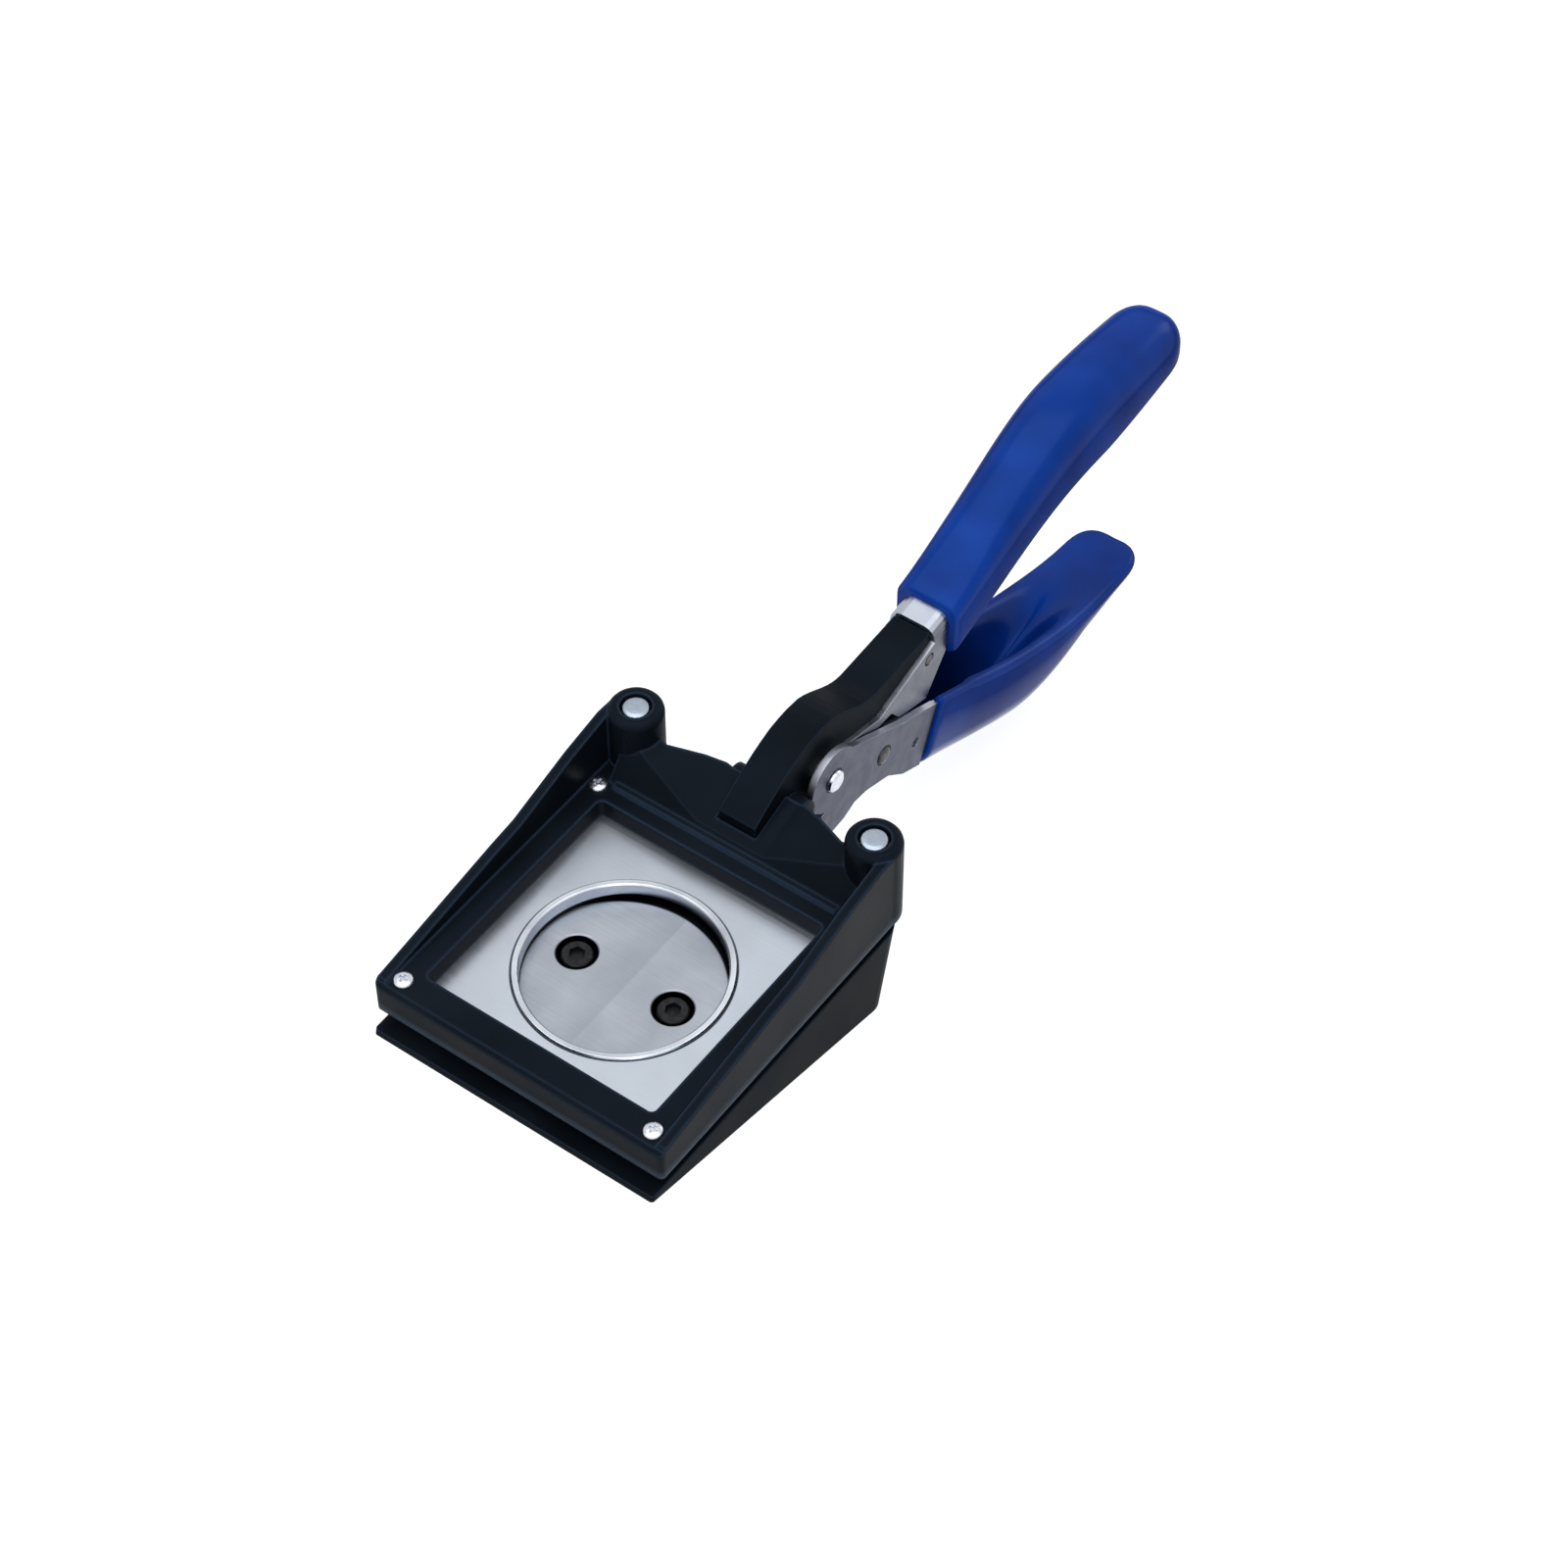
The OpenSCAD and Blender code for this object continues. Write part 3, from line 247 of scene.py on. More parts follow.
def switch(tree: Tree, unseen: Socket, seen: Socket) -> Socket:
    """Adds a switch between two shaders.

    Args:
        tree: Tree of the material or the world.
        unseen: Shader for rays that only light the scene.
        seen: Shader for rays from the camera, straight or by a reflection.

    Returns:
        Socket of the result.
    """
    path = add_node(tree, "LightPath").outputs
    share = path["Is Camera Ray"]
    for name in ("Is Glossy Ray", "Is Transmission Ray"):
        share = number(tree, "MAXIMUM", share, path[name])
    return add_node(tree, "MixShader", {0: share, 1: unseen, 2: seen}).outputs["Shader"]


@dataclass(frozen=True)
class Finish:
    """Finish of one real material. The subclasses wire the nodes of each kind.

    Attributes:
        name: Name of the real material.
        colour: Main colour, sRGB.
        roughness: Middle roughness of the surface.
        metallic: Share of a metal's reflection.
        edge_mm: Rounding of the edges, 0 on a mesh that is round itself.
        swing: Change of the roughness at the two ends of its pattern.
        depth_mm: Real depth of the fine relief.
    """

    name: str
    colour: str
    roughness: float
    metallic: float = 0.0
    edge_mm: float = 0.25
    swing: Span = (-0.05, 0.07)
    depth_mm: float = 0.01

    def material(self) -> bpy.types.Material:
        """Gives the material, made at the first call."""
        found = bpy.data.materials.get(self.name)
        if found is not None:
            return found
        made = bpy.data.materials.new(self.name)
        tree = fresh_tree(made)
        shader = add_node(tree, "BsdfPrincipled", self.constants())
        add_node(tree, "OutputMaterial", {"Surface": shader.outputs["BSDF"]})
        self.wire(tree, shader)
        return made

    def constants(self) -> dict[str, Any]:
        """Gives the shader's own values, some of which a pattern then varies."""
        colour = hex_to_linear(self.colour)
        return {"Base Color": colour, "Roughness": self.roughness, "Metallic": self.metallic}

    def wire(self, tree: Tree, shader: Node) -> None:
        """Adds the nodes of this finish to the tree, in front of its main shader."""
        raise NotImplementedError

    def toned(self, tree: Tree, pattern: Socket, second: str, most: float = 1.0, *span: float) -> Socket:
        """Mixes a second colour into the main one by a pattern, and gives its socket."""
        return tint(tree, spread(tree, pattern, 0.0, most, *span), self.colour, second)

    def round_edges(self, tree: Tree) -> Socket:
        """Adds a normal that rounds the edges by edge_mm, and gives its socket."""
        settings = {"samples": 6, "Radius": self.edge_mm * MM}
        return add_node(tree, "Bevel", settings).outputs["Normal"]

    def surface(
        self, tree: Tree, shader: Node, colour: Socket, pattern: Socket, height: Socket | None = None,
    ) -> None:
        """Links the colour, a roughness that follows a pattern, and a fine relief.

        Args:
            tree: Tree of the material.
            shader: Its main shader.
            colour: Socket of the colour.
            pattern: Socket of the pattern, from 0 to 1.
            height: Socket of the relief's height, where that isn't the pattern.
        """
        less, more = self.swing
        rough = spread(tree, pattern, self.roughness + less, self.roughness + more)
        settings = {"Height": pattern if height is None else height, "Distance": self.depth_mm * MM}
        if self.edge_mm > 0:
            settings["Normal"] = self.round_edges(tree)
        bump = add_node(tree, "Bump", settings)
        feeds = {"Base Color": colour, "Roughness": rough, "Normal": bump.outputs["Normal"]}
        for name, socket in feeds.items():
            tree.links.new(socket, shader.inputs[name])


# turn away from the viewer over which a gloss weakens, where 1 is edge on
TURNED = (0.3, 0.55)
# upward part of the normals over which a rubbed underside ends
UNDER = (-0.35, 0.02)


@dataclass(frozen=True)
class TintedGloss(Finish):
    """Finish whose tinted gloss weakens at grazing views, as on a faintly dusty skin.

    Attributes:
        ior: Index of refraction.
        sheen: Colour of the gloss.
        gloss: Specular level where it faces the viewer.
        grazing: Specular level at a grazing view.
        under: Specular level that rubbing fingers add on faces that look down.
    """

    ior: float = 1.5
    sheen: str = "#bcd6fa"
    gloss: float = 0.06
    grazing: float = 0.035
    under: float = 0.0

    def constants(self) -> dict[str, Any]:
        """Adds the index and the colour of the gloss."""
        return super().constants() | {"IOR": self.ior, "Specular Tint": hex_to_linear(self.sheen)}

    def link_gloss(self, tree: Tree, shader: Node) -> None:
        """Links the gloss.

        Args:
            tree: Tree of the material.
            shader: Its main shader.
        """
        turned = add_node(tree, "LayerWeight").outputs["Facing"]
        level = spread(tree, turned, self.gloss, self.grazing, *TURNED)
        if self.under > 0:
            up = component(tree, normal(tree), "Z")
            level = number(tree, "ADD", level, spread(tree, up, self.under, 0.0, *UNDER))
        tree.links.new(level, shader.inputs["Specular IOR Level"])


# share of the painted edge highlight on an edge, and cosines of the rounding over which it ends
EDGE_HIGHLIGHT, BEND = 0.5, (0.78, 0.98)
# share of the painted floor reflection where it is strongest, at the lower edge
FLOOR_REFLECTED = 0.8


@dataclass(frozen=True)
class PowderCoat(TintedGloss):
    """Black powder coat baked on a casting.

    It gives the eye a deep black with a slight orange peel, a cool sheen and a painted highlight along
    its edges.

    Attributes:
        pale: Colour where the coat is thicker and greyer.
        cloud_mm: Size of the slow changes of tone.
        peel_mm: Size of the orange peel.
        edge: Colour of the painted highlight along edges.
        floor_reflection: Heights over the die plate between which the painted reflection of the floor on
            the lower edge fades, or None.
        floor_reflection_colour: Colour of that painted reflection of the floor.
    """

    depth_mm: float = 0.03
    pale: str = "#151c24"
    cloud_mm: float = 24.0
    peel_mm: float = 1.1
    edge: str = "#4a6280"
    floor_reflection: Span | None = None
    floor_reflection_colour: str = "#4a5a6c"

    def wire(self, tree: Tree, shader: Node) -> None:
        """Adds the clouds, the painted edge highlights, the painted floor reflection on the lower edge
        and the peel.

        Args:
            tree: Tree of the material.
            shader: Its main shader.
        """
        cloud = grain(tree, self.cloud_mm, detail=2.0)
        colour = self.toned(tree, cloud, self.pale)
        # painted highlight along the edges, where the rounded normal bends away from the true one
        bent = vector(tree, "DOT_PRODUCT", self.round_edges(tree), normal(tree))["Value"]
        colour = tint(tree, spread(tree, bent, EDGE_HIGHLIGHT, 0.0, *BEND), colour, self.edge)
        if self.floor_reflection is not None:
            low, high = self.floor_reflection
            # painted reflection of the floor, strongest at the lower edge
            height = component(tree, die_place(tree), "Z")
            worn = spread(tree, height, FLOOR_REFLECTED, 0.0, low * MM, high * MM)
            colour = tint(tree, worn, colour, self.floor_reflection_colour)
        self.surface(tree, shader, colour, cloud, grain(tree, self.peel_mm))
        self.link_gloss(tree, shader)


@dataclass(frozen=True)
class PaintedShade:
    """Painted shade in a bore, or beside a round edge where its shadow falls.

    Attributes:
        radius: Radius of the round that bounds it.
        top: Height of its upper end over the die plate.
        x: Middle of the round along X, from the hole's middle.
        y: The same along Y, in the die axes.
        outside: True where it lies outside the round.
        soft: Width over which it fades.
        colour: Colour of the painted shade.
    """

    radius: float
    top: float
    x: float = 0.0
    y: float = 0.0
    outside: bool = False
    soft: float = 0.1
    colour: str = "#07080b"

    def share(self, tree: Tree) -> Socket:
        """Adds a share that is 1 where the painted shade lies.

        Args:
            tree: Tree of the material.

        Returns:
            Socket of the share.
        """
        place = die_place(tree)
        middle = (-self.x * MM, -self.y * MM, 0)
        flat = vector(tree, "MULTIPLY_ADD", place, (1, 1, 0), middle)["Vector"]
        near, far = (0.0, 1.0) if self.outside else (1.0, 0.0)
        edge = (self.radius - self.soft) * MM, (self.radius + self.soft) * MM
        bounded = spread(tree, vector(tree, "LENGTH", flat)["Value"], near, far, *edge)
        below = number(tree, "LESS_THAN", component(tree, place, "Z"), self.top * MM)
        return number(tree, "MULTIPLY", bounded, below)


class Lay(Enum):
    """Way in which the fine lines of a metal face run."""

    ACROSS = "along X, from a grinder"
    ROUND = "round the hole, from a lathe"
    TUMBLED = "no direction, from a drum"


# share of the stain's colour in the stains, in the lines and at the darker toned line
STAINED, LINED, LINE_TONED = 0.8, 0.35, 0.55
# widths over which the tone deepens towards that line and ends behind it
LINE_FADE, LINE_END = 9.0, 0.5
# sideways part of the normals over which the painted shade of a side begins
SIDE_SPAN = (0.6, 0.9)


@dataclass(frozen=True)
class BareSteel(Finish):
    """Bare or plated steel with the fine lines of how it was finished.

    It gives the eye a clear metal with a soft streaked sheen and faint stains.

    Attributes:
        stain: Colour of the faint stains.
        stain_mm: Size of the stains.
        lay: Way in which the lines run.
        line_mm: Spacing of the lines, coarser than real so that they show.
        run_mm: Length of one line.
        tone_line_mm: Place along X of a line towards which the tone darkens, or None.
        side: Colour of the painted shade on faces that look sideways, or None.
        painted_shade: Painted shade in bores and beside round edges.
    """

    metallic: float = 1.0
    swing: Span = (-0.06, 0.08)
    depth_mm: float = 0.002
    stain: str = "#b4b9c2"
    stain_mm: float = 18.0
    lay: Lay = Lay.TUMBLED
    line_mm: float = 0.35
    run_mm: float = 40.0
    tone_line_mm: float | None = None
    side: str | None = None
    painted_shade: tuple[PaintedShade, ...] = ()

    def shaded_sides(self, tree: Tree) -> Socket:
        """Adds a share that is 1 on faces that look sideways, where shade is painted, and gives its
        socket.
        """
        turned = number(tree, "ABSOLUTE", component(tree, normal(tree, "True Normal"), "X"))
        return spread(tree, turned, 0.0, 1.0, *SIDE_SPAN)

    def lines(self, tree: Tree) -> Socket:
        """Adds the lines in their lay.

        Args:
            tree: Tree of the material.

        Returns:
            The pattern's factor, from 0 to 1.
        """
        if self.lay is Lay.TUMBLED:
            return grain(tree, self.line_mm)
        fine, coarse = 1 / (self.line_mm * MM), 1 / (self.run_mm * MM)
        if self.lay is Lay.ROUND:
            flat = vector(tree, "MULTIPLY", die_place(tree), (fine, fine, 0))["Vector"]
            place = {"noise_dimensions": "1D", "W": vector(tree, "LENGTH", flat)["Value"]}
        else:
            size = (coarse, fine, fine)
            place = {"Vector": vector(tree, "MULTIPLY", die_place(tree), size)["Vector"]}
        settings = place | {"Scale": 1.0, "Detail": 2.0}
        return add_node(tree, "TexNoise", settings).outputs["Fac"]

    def toned_line(self, tree: Tree) -> Socket:
        """Adds the tone that deepens towards the toned line.

        Args:
            tree: Tree of the material.

        Returns:
            Socket of the tone's share.
        """
        across = component(tree, own_place(tree), "X")
        start, meet = (self.tone_line_mm - LINE_FADE) * MM, self.tone_line_mm * MM
        left = spread(tree, across, 0.0, LINE_TONED, start, meet)
        right = spread(tree, across, 1.0, 0.0, meet, (self.tone_line_mm + LINE_END) * MM)
        return number(tree, "MULTIPLY", left, right)

    def wire(self, tree: Tree, shader: Node) -> None:
        """Adds the stains, the darker toned line, the lines, the painted shade of the sides and the
        painted shade in bores and beside edges.

        Args:
            tree: Tree of the material.
            shader: Its main shader.
        """
        lines = self.lines(tree)
        colour = self.toned(tree, grain(tree, self.stain_mm, detail=4.0), self.stain, STAINED)
        # a darker tone towards a line across the face
        if self.tone_line_mm is not None:
            colour = tint(tree, self.toned_line(tree), colour, self.stain)
        colour = tint(tree, spread(tree, lines, 0.0, LINED), colour, self.stain)
        # painted shade on faces that look sideways
        if self.side is not None:
            colour = tint(tree, self.shaded_sides(tree), colour, self.side)
        # painted shade in bores and beside round edges
        for painted_shade in self.painted_shade:
            colour = tint(tree, painted_shade.share(tree), colour, painted_shade.colour)
        self.surface(tree, shader, colour, lines)


@dataclass(frozen=True)
class BlackOxide(Finish):
    """Steel blackened in a hot bath and oiled.

    It gives the eye a near black with a dull oily sheen, half a metal's, and worn patches.

    Attributes:
        worn: Colour of the worn patches.
        patch_mm: Size of the patches.
        oil: Specular level of the oil.
    """

    metallic: float = 0.5
    edge_mm: float = 0.15
    swing: Span = (-0.08, 0.1)
    depth_mm: float = 0.006
    worn: str = "#2b2c2f"
    patch_mm: float = 1.6
    oil: float = 0.3

    def constants(self) -> dict[str, Any]:
        """Adds the weak gloss of the oil."""
        return super().constants() | {"Specular IOR Level": self.oil}

    def wire(self, tree: Tree, shader: Node) -> None:
        """Adds the patches."""
        patch = grain(tree, self.patch_mm)
        self.surface(tree, shader, self.toned(tree, patch, self.worn), patch)


@dataclass(frozen=True)
class DippedVinyl(TintedGloss):
    """Vinyl plastisol, dipped hot and cured to a thick glossy skin.

    It gives the eye a strong clean blue, a wet gloss and slow waves where the skin ran and set.

    Attributes:
        deep: Colour where the skin is thicker.
        wave_mm: Size of the slow waves.
        trough_shade: Colour of the painted shade where the mesh says so.
    """

    edge_mm: float = 0.0
    swing: Span = (-0.04, 0.06)
    depth_mm: float = 0.12
    ior: float = 1.53
    sheen: str = "#9cc0ff"
    gloss: float = 0.2
    grazing: float = 0.008
    deep: str = "#0a3590"
    wave_mm: float = 17.0
    trough_shade: str = "#03050d"

    def wire(self, tree: Tree, shader: Node) -> None:
        """Adds the waves in tone and gloss, and the painted shade.

        Args:
            tree: Tree of the material.
            shader: Its main shader.
        """
        wave = grain(tree, self.wave_mm, detail=1.5)
        colour = self.toned(tree, wave, self.deep)
        # painted shade in the trough, by the share that the mesh carries
        trough_shading = add_node(tree, "Attribute", {"attribute_name": TROUGH_SHADE}).outputs["Fac"]
        self.surface(tree, shader, tint(tree, trough_shading, colour, self.trough_shade), wave)
        self.link_gloss(tree, shader)


# share of the pores' colour in a pore, and values of the pattern over which it begins
PORED, PORE_SPAN = 0.9, (0.55, 0.7)


@dataclass(frozen=True)
class SinteredBronze(Finish):
    """Bearing bronze, pressed from powder and soaked in oil.

    It gives the eye a dull warm metal with fine dark pores.

    Attributes:
        pore: Colour of the pores.
        pore_mm: Size of the pores.
    """

    metallic: float = 1.0
    swing: Span = (-0.05, 0.15)
    pore: str = "#5f4522"
    pore_mm: float = 0.4

    def wire(self, tree: Tree, shader: Node) -> None:
        """Adds the pores."""
        pores = grain(tree, self.pore_mm)
        self.surface(tree, shader, self.toned(tree, pores, self.pore, PORED, *PORE_SPAN), pores)


# painted shade: dark walls in the plate's and the ring's bore and in the punch's screw counterbores, and
# a dark crescent on the punch beside the ring, where its shadow falls
PLATE_BORE = PaintedShade(radius=29.4, top=1.0, colour="#454a53")
RING_BORE = PaintedShade(radius=27.1, top=-3.0)
SCREW_BORES = tuple(PaintedShade(radius=5.6, top=-4.8, x=x) for x in (-15.5, 15.5))
PUNCH_EDGE = PaintedShade(radius=29.05, top=0.0, y=-4.25, outside=True, soft=0.25)

# both coats get a painted highlight along their edges, and the frame also a painted reflection of the
# floor along its lower front edge
FRAME_COAT = PowderCoat("powder_coated_frame_iron", "#0e131a", 0.38, edge_mm=1.6, floor_reflection=(-3.4, -0.8))
BASE_COAT = PowderCoat(
    "dull_powder_coated_base_iron", "#0c1117", 0.42, edge_mm=0.8, edge="#42586e", grazing=0.02,
)
GROUND_PLATE = BareSteel(
    "surface_ground_steel", "#b8c0cb", 0.34, stain="#abb1b9", lay=Lay.ACROSS, painted_shade=(PLATE_BORE,),
)
GROUND_PUNCH = BareSteel(
    "ground_punch_steel", "#a9afb8", 0.36, stain="#8b9099", lay=Lay.ACROSS, tone_line_mm=1.1,
    painted_shade=(*SCREW_BORES, PUNCH_EDGE),
)
TURNED_RING = BareSteel(
    "turned_bright_steel", "#e8eef6", 0.16, stain="#a5abb6", lay=Lay.ROUND, line_mm=0.7,
    painted_shade=(RING_BORE,),
)
POST_STEEL = BareSteel("worn_post_steel", "#a9b4c2", 0.26, stain="#949eac", line_mm=0.5, stain_mm=3.0)
# rivet steel, darkened as painted shade for the shadow marks round the rivets
DARKENED_RIVET = BareSteel("darkened_rivet_steel", "#57565a", 0.3, stain="#2b2a2c", line_mm=0.5, stain_mm=2.0)
BRIGHT_PIN = BareSteel("bright_pin_steel", "#e0e4ec", 0.18, stain="#c3c8d2", line_mm=0.4, stain_mm=4.0)
PLATED_FASTENER = BareSteel(
    "zinc_plated_steel", "#d6dae1", 0.28, stain="#b9bec8", line_mm=0.5, stain_mm=3.0,
)
# the sheets' faces that look sideways get painted shade
PLATED_SHEET = BareSteel(
    "nickel_plated_sheet_steel", "#b4bac4", 0.3, stain="#a4aab5", line_mm=4.0, side="#62656f",
)
LEVER_SHEET = BareSteel(
    "grey_plated_sheet_steel", "#b3b8c2", 0.36, stain="#a4aab5", line_mm=4.0, side="#474b5a",
)
HARD_TONGUE = BareSteel("hardened_steel", "#7d7e84", 0.38, stain="#63646a", line_mm=0.6, stain_mm=7.0)
SPRING_WIRE = BareSteel("drawn_spring_wire", "#a2a5ab", 0.26, stain="#84878e", line_mm=0.3, stain_mm=4.0)
SCREW_BLACK = BlackOxide("black_oxide_steel", "#101114", 0.42)
VINYL = DippedVinyl("dipped_blue_vinyl", "#0b45b0", 0.2)
RUBBED_VINYL = replace(VINYL, name="rubbed_dipped_blue_vinyl", under=0.35)
BRONZE = SinteredBronze("sintered_bronze", "#a98246", 0.38)


def add_object(name: str, data: bpy.types.ID) -> bpy.types.Object:
    """Adds an object to the scene.

    Args:
        name: Name of the object.
        data: Its mesh, lamp or camera.

    Returns:
        The new object.
    """
    made = bpy.data.objects.new(name, data)
    bpy.context.scene.collection.objects.link(made)
    return made


def smooth_mesh(name: str, points: list[Vector], faces: Faces) -> bpy.types.Object:
    """Makes a smooth object from points and faces.

    Args:
        name: Name of the piece.
        points: Points in the frame, in metres.
        faces: Indices of each face's points.

    Returns:
        The new object.
    """
    mesh = bpy.data.meshes.new(name)
    mesh.from_pydata([tuple(p) for p in points], [], faces)
    mesh.validate()
    for face in mesh.polygons:
        face.use_smooth = True
    return add_object(name, mesh)


def tube_faces(rows: int, count: int) -> Faces:
    """Gives the faces of a closed tube.

    Args:
        rows: Count of rings along the tube.
        count: Count of points round one ring.

    Returns:
        Quads between the rings, and one face at each end.
    """
    faces: Faces = []
    for row in range(rows - 1):
        for i in range(count):
            a, b = row * count + i, row * count + (i + 1) % count
            faces.append((a, b, b + count, a + count))
    faces.append(tuple(reversed(range(count))))
    faces.append(tuple(range((rows - 1) * count, rows * count)))
    return faces


# shares of a section's depth that its outer corners and its lips take at most
CORNER_DEPTH, LIP_DEPTH = 0.6, 0.45
# depth that is left in an open and in a filled trough, and its least half width and rounding
OPEN_DEPTH, FILLED_DEPTH = 0.3, 0.06
LEAST_INSIDE, LEAST_ROUND = 0.3, 0.05


@dataclass
class Section:
    """Section of a dipped channel handle at one place along it.

    Attributes:
        half: Half width outside.
        deep: Depth from the web to the lips.
        wall: Thickness of the walls and the web.
        inside: Half width inside.
        crown: Bulge of the web's outer face.
        fill: Share by which the trough is filled up to its lips.
        share: Radius of the outer corners, as a share of the half width.
        soft: Share by which the trough's inside is one smooth curve.
    """

    half: float
    deep: float
    wall: float
    inside: float
    crown: float = 0.0
    fill: float = 0.0
    share: float = 0.6
    soft: float = 0.0

    def bulge(self, across: float) -> float:
        """Gives the height of the web's bulge at a place across it."""
        return self.crown * (1 - (across / self.half) ** 2)

    def outline(self, steps: int) -> list[Span]:
        """Draws the section with round corners and round lips.

        Args:
            steps: Steps in one quarter of a round.

        Returns:
            Points across and up from the web, the same count for every section.
        """
        turns = quarter(steps)
        corner = min(self.share * self.half, CORNER_DEPTH * self.deep)
        flat = self.half - corner
        middle, thick = (self.half + self.inside) / 2, (self.half - self.inside) / 2
        lip = min(thick, LIP_DEPTH * self.deep)
        rim = self.deep - lip
        floor = mix(min(self.wall, self.deep - OPEN_DEPTH), self.deep - FILLED_DEPTH, self.fill)
        room = min(corner, self.inside - 2 * LEAST_ROUND, rim - floor - LEAST_ROUND)
        inner = max(LEAST_ROUND, room)
        # half of the web, the outer corner and the lip's outer half
        right = [(flat * i / steps, -self.bulge(flat * i / steps)) for i in range(steps)]
        for a in turns:
            drop = self.bulge(flat) * cos(a)
            right.append((flat + corner * sin(a), corner * (1 - cos(a)) - drop))
        right += [(middle + thick * cos(a), rim + lip * sin(a)) for a in turns]
        # the lip's inner half, the inner corner and the floor, square or as one bowl
        square = [(middle - thick * sin(a), rim + lip * cos(a)) for a in turns[1:]]
        for a in turns:
            square.append((self.inside - inner * (1 - cos(a)), floor + inner * (1 - sin(a))))
        square += [((self.inside - inner) * (1 - i / steps), floor) for i in range(1, steps + 1)]
        for i, (across, up) in enumerate(square, 1):
            part = 1 - i / len(square)
            bowl = floor + (self.deep - floor) * (1 - cos(pi * part)) / 2
            right.append((mix(across, middle * part, self.soft), mix(up, bowl, self.soft)))
        left = [(-across, up) for across, up in reversed(right[1:-1])]
        return right + left

    @staticmethod
    def inner(steps: int) -> list[float]:
        """Tells which points of the outline lie inside the trough.

        Args:
            steps: Steps in one quarter of a round.

        Returns:
            0 for each point outside, 1 inside, and a rise over the lip's inner half.
        """
        right = [0.0] * (3 * steps + 2)
        right += [i / steps for i in range(1, steps + 1)] + [1.0] * (2 * steps + 1)
        return right + right[-2:0:-1]


@dataclass
class DippedGrip:
    """A thick vinyl skin over a folded handle. The subclasses give the sections.

    A ramp is the place where a change starts and the length that it takes.

    Attributes:
        node: CAD node that the grip stands for.
        body: Body that it rides on.
        mouth: Distance from the pivot back to the mouth.
        length: Length of the grip.
        depth: Steel depth at the front.
        half: Steel half width at the front.
        taper: Narrowing to the tip, each side.
        steel: Thickness of the steel.
        vinyl: Thickness of the skin.
        tip: Length of the rounded tip.
        tip_power: Squareness of the tip, where 2 is round.
        tip_least: Share of the section left at the very end.
        mouth_round: Rounding of the skin at the mouth.
        trough_shade_len: Length over which the painted shade in the trough thins out.
        stations: Sections between the mouth and the tip.
        rounds: Sections in the mouth's rounding, and half of those in the tip.
        steps: Steps in one quarter of a section's round.
        finish: Finish of the skin.
    """

    node: str
    body: str
    mouth: float
    length: float
    depth: float
    half: float
    taper: float
    steel: float
    vinyl: float = 1.4
    tip: float = 12.0
    tip_power: float = 2.6
    tip_least: float = 0.1
    mouth_round: float = 1.1
    trough_shade_len: float = 92.0
    stations: int = 56
    rounds: int = 5
    steps: int = 7
    finish: DippedVinyl = VINYL

    def pivot(self) -> Vector:
        """Gives the lever's pivot in the die axes, in millimetres."""
        return AXES.from_world(Vector(joint("lever_pivot")["pos_m"])) / MM

    def places(self) -> list[Span]:
        """Gives the stations from the mouth to the end.

        Returns:
            Distance behind the mouth, and the skin's growth over the steel there.
        """
        tip_start = self.length - self.tip
        mouth = [
            (self.mouth_round * (1 - cos(a)), self.vinyl - self.mouth_round * (1 - sin(a)))
            for a in quarter(self.rounds)[:-1]
        ]
        body = [
            (mix(self.mouth_round, tip_start, i / self.stations), self.vinyl)
            for i in range(self.stations + 1)
        ]
        turns = quarter(2 * self.rounds)[1:]
        return mouth + body + [(tip_start + self.tip * sin(a), self.vinyl) for a in turns]

    def closing(self, back: float) -> float:
        """Gives the share of the section that is left at the rounded tip."""
        rise = clamp((back - self.length + self.tip) / self.tip)
        return mix(self.tip_least, 1.0, (1 - rise**self.tip_power) ** (1 / self.tip_power))

    def trough_shading(self, back: float) -> float:
        """Gives the share of painted shade in the trough, which deepens towards the mouth."""
        return 1 - ease(back / self.trough_shade_len)

    def ring(self, back: float, grow: float) -> list[Vector]:
        """Gives the points of the section at a distance behind the mouth."""
        raise NotImplementedError

    def build(self) -> None:
        """Lofts the grip, dresses it and sets it in the place of its CAD node."""
        pivot, places = self.pivot(), self.places()
        rings = [self.ring(back, grow) for back, grow in places]
        points = [AXES.to_world((pivot + p) * MM) for ring in rings for p in ring]
        grip = smooth_mesh(self.node + "_skin", points, tube_faces(len(rings), len(rings[0])))
        grip.data.materials.append(self.finish.material())
        inside = Section.inner(self.steps)
        # painted shade in the trough, deepest at the mouth
        trough_shade = grip.data.attributes.new(TROUGH_SHADE, "FLOAT", "POINT")
        shares = [self.trough_shading(back) * share for back, _ in places for share in inside]
        trough_shade.data.foreach_set("value", shares)
        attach(grip, self.body)
        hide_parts(self.node)
        log.info("%s is dipped over its handle", grip.name)


